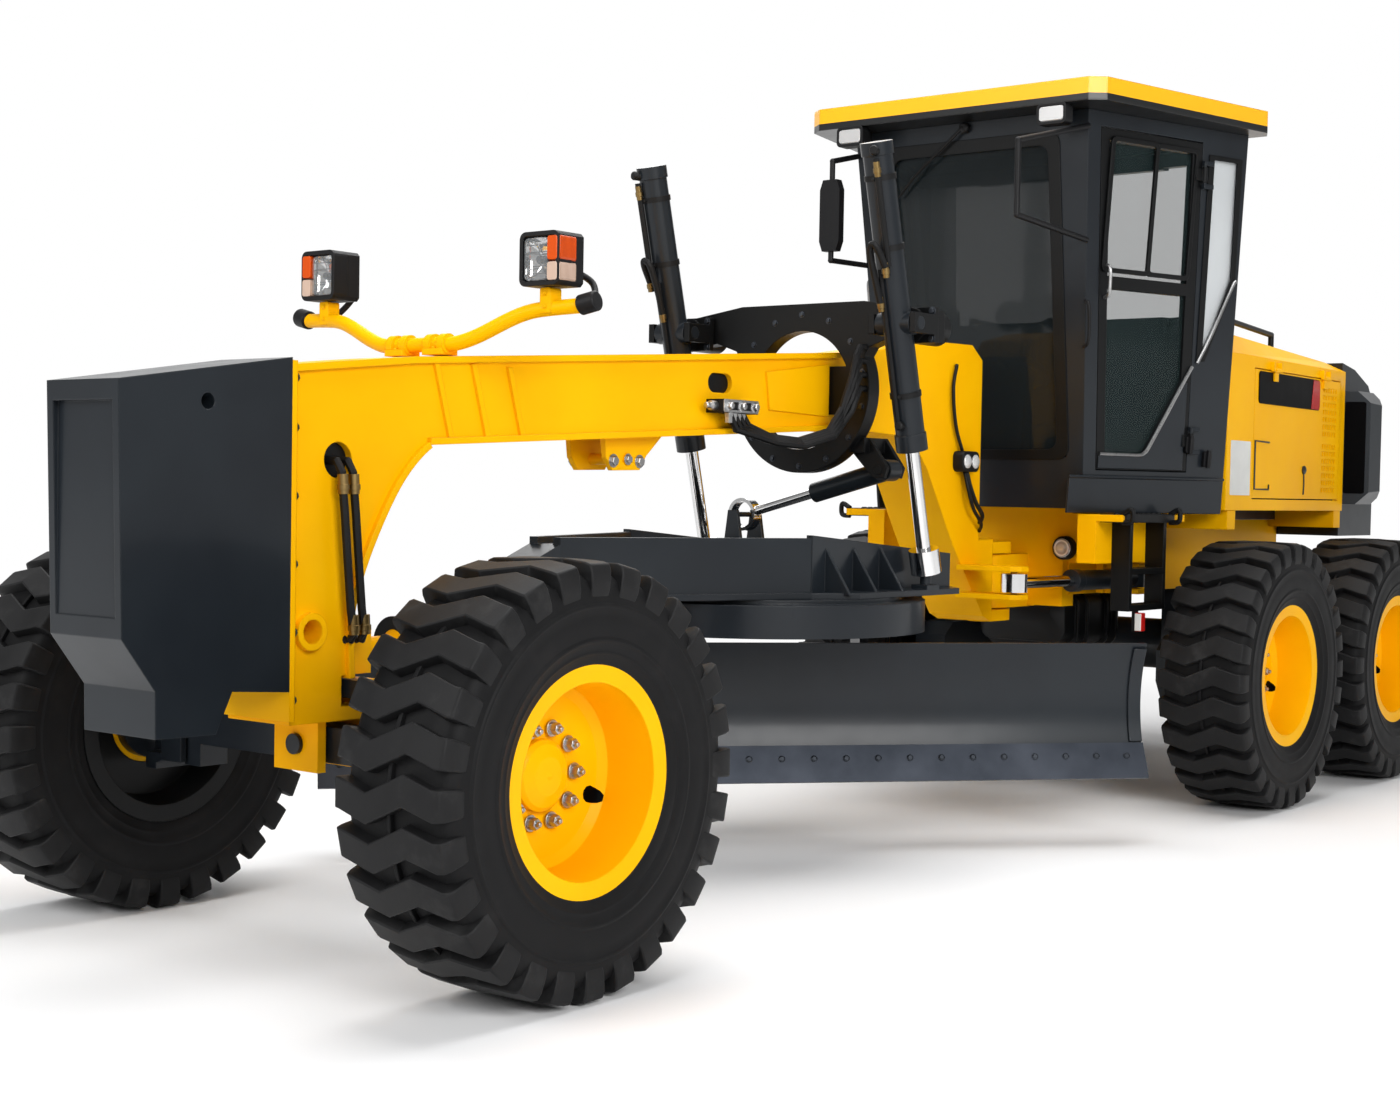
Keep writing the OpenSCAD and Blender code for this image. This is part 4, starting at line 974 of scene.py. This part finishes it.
def leg_lamp():
    """Twin lamp on the leg's left face, with its cables."""
    s = Shape()
    body = rounded(-3958, 1668, -3800, 1768, 30)
    front = about(body, (-3879, 1718), 0.94, 0.94)
    s.loft([[at(x, y, z) for x, z in outline] for y, outline in ((155.5, body), (205, body), (213, front))])
    out = [(-3890, 180, 1672), (-3900, 196, 1600), (-3950, 200, 1520), (-4030, 190, 1460), (-4056, 160, 1420)]
    s.tube(curve(at, out), 11)
    low = [(-3870, 180, 1672), (-3872, 204, 1580), (-3920, 206, 1490), (-4010, 196, 1420), (-4056, 160, 1380)]
    s.tube(curve(at, low), 9)
    top = [(-3800, 168, 2180), (-3760, 176, 2080), (-3770, 176, 1960), (-3800, 176, 1860), (-3850, 178, 1768)]
    s.tube(curve(at, top), 9)
    s.piece("leg_lamp", "front_frame", "plastic", bevel=2)
    s = Shape()
    for x in (-3842, -3916):
        s.disc(at(x, 211, 1718), (0, 1, 0), [(33, 0), (33, 5), (24, 12), (8, 15)], 28)
    s.piece("leg_lamp_lenses", "front_frame", "lamp")


openings_painted_shade()
valve_fittings()
hose_ferrules()
gooseneck_flange()
frame_bolts()
clevis_bolts()
leg_lamp()

# Headlamps: the lens's middle, and the scale and depth of the reflector's rows

LENS_MID = (539, 2330)
BOWL = ((1.0, -6), (0.92, -22), (0.7, -36), (0.3, -44), (0.28, -46), (0.7, -39), (0.94, -25), (1.0, -9))


def headlamp(name, side):
    face = facing(-452, side)
    ahead = (1, 0, 0)

    def row(outline, depth):
        return [face(u, depth, v) for u, v in outline]

    # Border, cable and the cap on the bar's end
    s = ring(Shape(), face, rounded(468, 2238, 648, 2422, 26), rounded(482, 2254, 634, 2406, 16), -60, 8)
    cable = [(-570, 540, 2300), (-630, 560, 2300), (-662, 610, 2262), (-622, 650, 2200), (-545, 652, 2168)]
    s.tube(spline([at(x, side * y, z) for x, y, z in cable]), 12)
    s.disc(at(-519, side * 690, 2175), (-0.15, side, 0.22), [(27, -10), (35, -4), (35, 58), (30, 64)], 24)
    s.piece(f"{name}_headlamp_shell", "front_frame", "plastic", bevel=2)
    # Bowl reflector, bulb cap with ribs, and clear cover
    rim = rounded(486, 2258, 592, 2402, 16)
    u, v = LENS_MID
    s = Shape().loft([row(about(rim, LENS_MID, k, k), depth) for k, depth in BOWL], around=True)
    s.disc(face(u, -44, v), ahead, [(26, 0), (24, 4)], 20)
    s.piece(f"{name}_headlamp_reflector", "front_frame", "mirror")
    s = Shape().disc(face(u, -42, v), ahead, [(15, 0), (15, 24), (11, 30)], 20)
    for mid in (2282, 2306, 2354, 2378):
        rib = ((489, mid - 1.5), (589, mid - 1.5), (589, mid + 1.5), (489, mid + 1.5))
        s.loft([row(rib, depth) for depth in (-13, -9)])
    s.piece(f"{name}_headlamp_bulb", "front_frame", "dark_steel", bevel=0.6)
    s = Shape().loft([row(rim, -4), row(about(rim, LENS_MID, 0.97, 0.98), 3)])
    s.piece(f"{name}_headlamp_lens", "front_frame", "clear", bevel=1)
    # Amber indicator over a pale side lamp, both round the outer corner
    inner_u = 597
    for piece, v0, v1, finish in (("indicator", 2322, 2406, "amber"), ("side_lamp", 2254, 2318, "pale_lens")):
        corner = rounded(inner_u, v0, 651, v1, 10)
        front = about(corner, (inner_u, (v0 + v1) / 2), 0.8, 0.94)
        s = Shape().loft([row(corner, -78), row(corner, 0), row(front, 9)])
        s.piece(f"{name}_{piece}", "front_frame", finish, bevel=1)


def headlamp_bar():
    """Bent tube on two saddles, with a bolted block under each lamp."""
    half = [(-440, 120, 2056), (-442, 190, 2059), (-455, 275, 2083), (-476, 400, 2134), (-490, 480, 2158),
            (-503, 560, 2167), (-519, 695, 2173)]
    path = [(x, -y, z) for x, y, z in reversed(half)] + [(-440, 0, 2056)] + half
    s = Shape().tube(curve(at, path), 26, 20)
    block = rounded(534, 2150, 584, 2236, 9)
    for side in (1, -1):
        for y in (62, 128):
            s.turned([(25, -16), (37, -16), (37, 16), (25, 16)], at(-440, side * y, 2056), (0, 1, 0))
        s.box((-482, side * 95 - 46, 2017), (-398, side * 95 + 46, 2040))
        for x in (-472, -408):
            s.bolt(at(x, side * 95, 2040), (0, 0, 1), 8)
        s.loft([[at(x, side * y, z) for y, z in block] for x in (-532, -478)])
        for z in (2172, 2216):
            s.bolt(at(-478, side * 559, z), (1, 0, 0), 7)
    obj = s.piece("lamp_bar", "front_frame", "yellow", bevel=2)
    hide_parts("headlamp_bar")


headlamp("left", 1)
headlamp("right", -1)
headlamp_bar()

# Cylinders


def lift_lines(name, side):
    """Pipes, a hose loop and clamps along a lift cylinder's barrel."""
    body = f"{name}_lift_barrel"
    s = Shape().tube([lift(70, 34, along, side) for along in (690, 640, 400, 250)], 13, 10)
    s.tube([lift(74, -6, along, side) for along in (240, 60, -140, -420)], 11, 10)
    loop = [(88, 30, 250), (120, 24, 330), (128, 8, 352), (122, -14, 320), (100, -18, 200), (86, -14, 90)]
    s.tube(spline([lift(*p, side) for p in loop], 5), 15)
    for along in (-300, 320, 610):
        s.turned([(62, -12), (67, -12), (67, 12), (62, 12)], lift(0, 0, along, side), LIFT_ALONG)
        s.bolt(lift(66, 10, along, side), (1, side * 0.15, 0), 9)
    s.disc(lift(40, 20, 715, side), (1, side * 0.4, 0), [(20, 0), (20, 50), (16, 56)], 12)
    s.disc(lift(40, 0, -430, side), (1, 0, 0), [(20, 0), (20, 44), (14, 50)], 12)
    s.piece(f"{name}_lift_lines", body, "hose", bevel=0.8)
    s = Shape()
    profile = [(14, -34), (14, -18), (17, -18), (17, 2), (14, 2), (14, 28)]
    for place in ((70, 34, 650), (88, 30, 240), (86, -14, 100)):
        s.disc(lift(*place, side), LIFT_ALONG, profile, 12)
    s.piece(f"{name}_lift_ferrules", body, "brass", bevel=0.8)


lift_lines("left", 1)
lift_lines("right", -1)

# Blade


def blade_bolts():
    """A row along the cutting edge, and three at each end."""
    ahead = (math.cos(BLADE_TURN), math.sin(BLADE_TURN), 0)
    level, rise = 0.894, 0.447
    s = Shape()
    for k in range(25):
        s.disc(blade(29, -1740 + 145 * k, 400), (level * ahead[0], level * ahead[1], rise),
               [(15, 0), (15, 4), (9, 9)], 14)
    for y in (-1800, 1800):
        for z in (520, 640, 760):
            s.disc(blade(blade_face(z), y, z), ahead, [(15, 0), (15, 5), (9, 10)], 14)
    s.piece("blade_bolts", "moldboard", "dark_steel")


def end_bits():
    s = Shape()
    for y0, y1 in ((-1830, -1770), (1770, 1830)):
        rows = []
        for z in range(460, 900, 20):
            back = blade_face(z) + 0.5
            front = blade_face(z) + 14
            rows.append([blade(x, y, z) for x, y in ((back, y0), (front, y0), (front, y1), (back, y1))])
        s.loft(rows)
    s.piece("end_bits", "moldboard", "grey", bevel=1.5)


blade_bolts()
end_bits()

# Steps and lamps at the rear frame


def step_markers():
    s = Shape().box((-4592, 759, 902), (-4550, 796, 992))
    s.mirrored().piece("step_reflectors", "rear_frame", "red", bevel=3)
    s = Shape().box((-4551, 761, 905), (-4546, 794, 989))
    s.mirrored().piece("step_markers", "rear_frame", "plate", bevel=1.5)


def ladder_heads():
    """Dark tread over each ladder's head, with a row of raised rings."""
    outline = rounded(-4884, 664, -4330, 806, 16)
    top = 1478
    s = Shape().loft([[at(x, y, z) for x, y in outline] for z in (1436, top)])
    for k in range(9):
        s.disc(at(-4830 + 56 * k, 735, top), (0, 0, 1), [(17, 0), (13, 6), (8, 6), (6, 2)], 16)
    s.mirrored().piece("ladder_heads", "rear_frame", "black", bevel=2)


def gearbox_case():
    """Ribbed case under the rear rails; stations of x, half width, foot and top."""
    stations = ((-4735, 190, 900, 1040), (-4790, 250, 800, 1052), (-5120, 262, 770, 1054),
                (-5420, 235, 800, 1052), (-5520, 170, 880, 1040))
    s = Shape().loft([[at(x, y, z) for y, z in rounded(-w, z0, w, z1, 60, 3)] for x, w, z0, z1 in stations])
    rib = rounded(-272, 764, 272, 1056, 62, 3)
    for x in (-4900, -5010, -5230, -5330):
        s.loft([[at(x + e, y, z) for y, z in rib] for e in (-9, 9)])
    s.piece("gearbox_case", "rear_frame", "black", bevel=4)


def frame_lamps():
    s = Shape().disc(at(-4600, 350, 1298), (1, 0, 0), [(60, 0), (60, 40), (52, 48)], 32)
    s.mirrored().piece("frame_lamp_shells", "rear_frame", "plastic", bevel=2)
    s = Shape().disc(at(-4553, 350, 1298), (1, 0, 0), [(48, 0), (44, 6), (20, 12)], 32)
    s.mirrored().piece("frame_lamp_lenses", "rear_frame", "lamp")


def step_hoops():
    s = Shape()
    hoop = [(790, 1476), (836, 1500), (846, 1470), (836, 1440), (790, 1436)]
    for x in (-4330, -4850):
        s.tube(spline([at(x, y, z) for y, z in hoop], 4), 13)
    s.mirrored().piece("step_hoops", "rear_frame", "black")


step_markers()
ladder_heads()
gearbox_case()
frame_lamps()
step_hoops()

# Camera, floor and light

# The camera as fitted to the photo, whose width and focal length are in its pixels
FRAME_W = 1400
FOCAL_PX = 2018.04
SENSOR = 36.0
EYE = Vector((7.95694, 5.22315, 1.56788))
YAW, PITCH, ROLL = -2.47293, -0.035636, 0.017554


def camera():
    """The photo's view: eye in metres, angles in radians."""
    ahead = Vector((math.cos(PITCH) * math.cos(YAW), math.cos(PITCH) * math.sin(YAW), math.sin(PITCH)))
    right = ahead.cross(Vector((0, 0, 1))).normalized()
    up = right.cross(ahead)
    side = right * math.cos(ROLL) + up * math.sin(ROLL)
    top = up * math.cos(ROLL) - right * math.sin(ROLL)
    data = bpy.data.cameras.new("camera")
    data.sensor_width = SENSOR
    data.lens = SENSOR * FOCAL_PX / FRAME_W
    data.clip_end = 200
    obj = put("camera", data)
    turn = Matrix((side, top, -ahead)).transposed()
    obj.matrix_world = Matrix.Translation(EYE) @ turn.to_4x4()
    bpy.context.scene.camera = obj


# Floor: half its side, and metres from the middle over which it fades into white
FLOOR_HALF = 60.0
FLOOR_FADE = (4.6, 9.0)


def floor():
    mesh = bpy.data.meshes.new("floor")
    corners = ((-1, -1), (1, -1), (1, 1), (-1, 1))
    mesh.from_pydata([(FLOOR_HALF * x, FLOOR_HALF * y, 0) for x, y in corners], [], [(0, 1, 2, 3)])
    obj = put("floor", mesh)
    s = Shade("studio_floor", Specular_IOR_Level=0.1)
    s.colour(s.ramp(s.noise(0.4, 2.0), [(0.3, srgb(247, 247, 248)), (0.7, srgb(251, 251, 251))]))
    s.rough(s.noise(2.0), 0.6, 0.75)
    # Far from the machine the floor turns into the plain white backdrop
    new, link = s.tree.nodes.new, s.tree.links.new
    reach = new("ShaderNodeVectorMath")
    reach.operation = "LENGTH"
    link(s.coords, reach.inputs[0])
    fade = map_range(s.tree, reach.outputs["Value"], *FLOOR_FADE)
    fade.node.interpolation_type = "SMOOTHSTEP"
    white = new("ShaderNodeEmission")
    white.inputs["Color"].default_value = (1, 1, 1, 1)
    blend = new("ShaderNodeMixShader")
    link(fade, blend.inputs["Fac"])
    link(s.main.outputs["BSDF"], blend.inputs[1])
    link(white.outputs["Emission"], blend.inputs[2])
    link(blend.outputs["Shader"], s.tree.nodes["Material Output"].inputs["Surface"])
    mesh.materials.append(s.mat)


def area(name, place, target, size, power):
    """A soft lamp aimed at a point; power in watts."""
    data = bpy.data.lights.new(name, "AREA")
    data.shape = "RECTANGLE"
    data.size, data.size_y = size
    data.energy = power
    obj = put(name, data)
    obj.location = place
    obj.rotation_euler = (Vector(target) - Vector(place)).to_track_quat("-Z", "Y").to_euler()


# World: way to the white backdrop, cosines over which it begins, levels of the studio and of its light
BACKDROP = (-0.78, -0.62, 0.0)
BACKDROP_TURN = (0.5, 0.85)
STUDIO_LEVEL = 0.36
AMBIENT = 0.16


def world():
    """White to the camera and through glass; in reflections a white backdrop in a dimmer studio."""
    w = bpy.data.worlds.new("studio")
    bpy.context.scene.world = w
    w.use_nodes = True
    tree = w.node_tree
    back = tree.nodes["Background"]
    back.inputs["Color"].default_value = (1, 1, 1, 1)
    ray = tree.nodes.new("ShaderNodeLightPath").outputs
    towards = tree.nodes.new("ShaderNodeVectorMath")
    towards.operation = "DOT_PRODUCT"
    tree.links.new(tree.nodes.new("ShaderNodeTexCoord").outputs["Generated"], towards.inputs[0])
    towards.inputs[1].default_value = BACKDROP
    white = map_range(tree, towards.outputs["Value"], *BACKDROP_TURN, STUDIO_LEVEL, 1.0)
    mirrored = math_node(tree, "MULTIPLY", ray["Is Glossy Ray"], white)
    straight = math_node(tree, "MAXIMUM", ray["Is Camera Ray"], ray["Is Transmission Ray"])
    seen = math_node(tree, "MAXIMUM", straight, mirrored)
    tree.links.new(math_node(tree, "MAXIMUM", seen, AMBIENT), back.inputs["Strength"])


camera()
floor()
world()
area("key", (7.0, 11.0, 6.0), (0, 0, 1.4), (7, 5), 1080)
area("top", (0.0, 0.0, 9.0), (0, 0, 0), (9, 7), 860)
area("fill", (11.0, -2.0, 5.5), (1, 0, 1.2), (5, 5), 430)
area("rim", (-8.0, -8.0, 8.0), (-1, 0, 1.5), (7, 5), 260)
bpy.context.scene.view_settings.view_transform = "Standard"
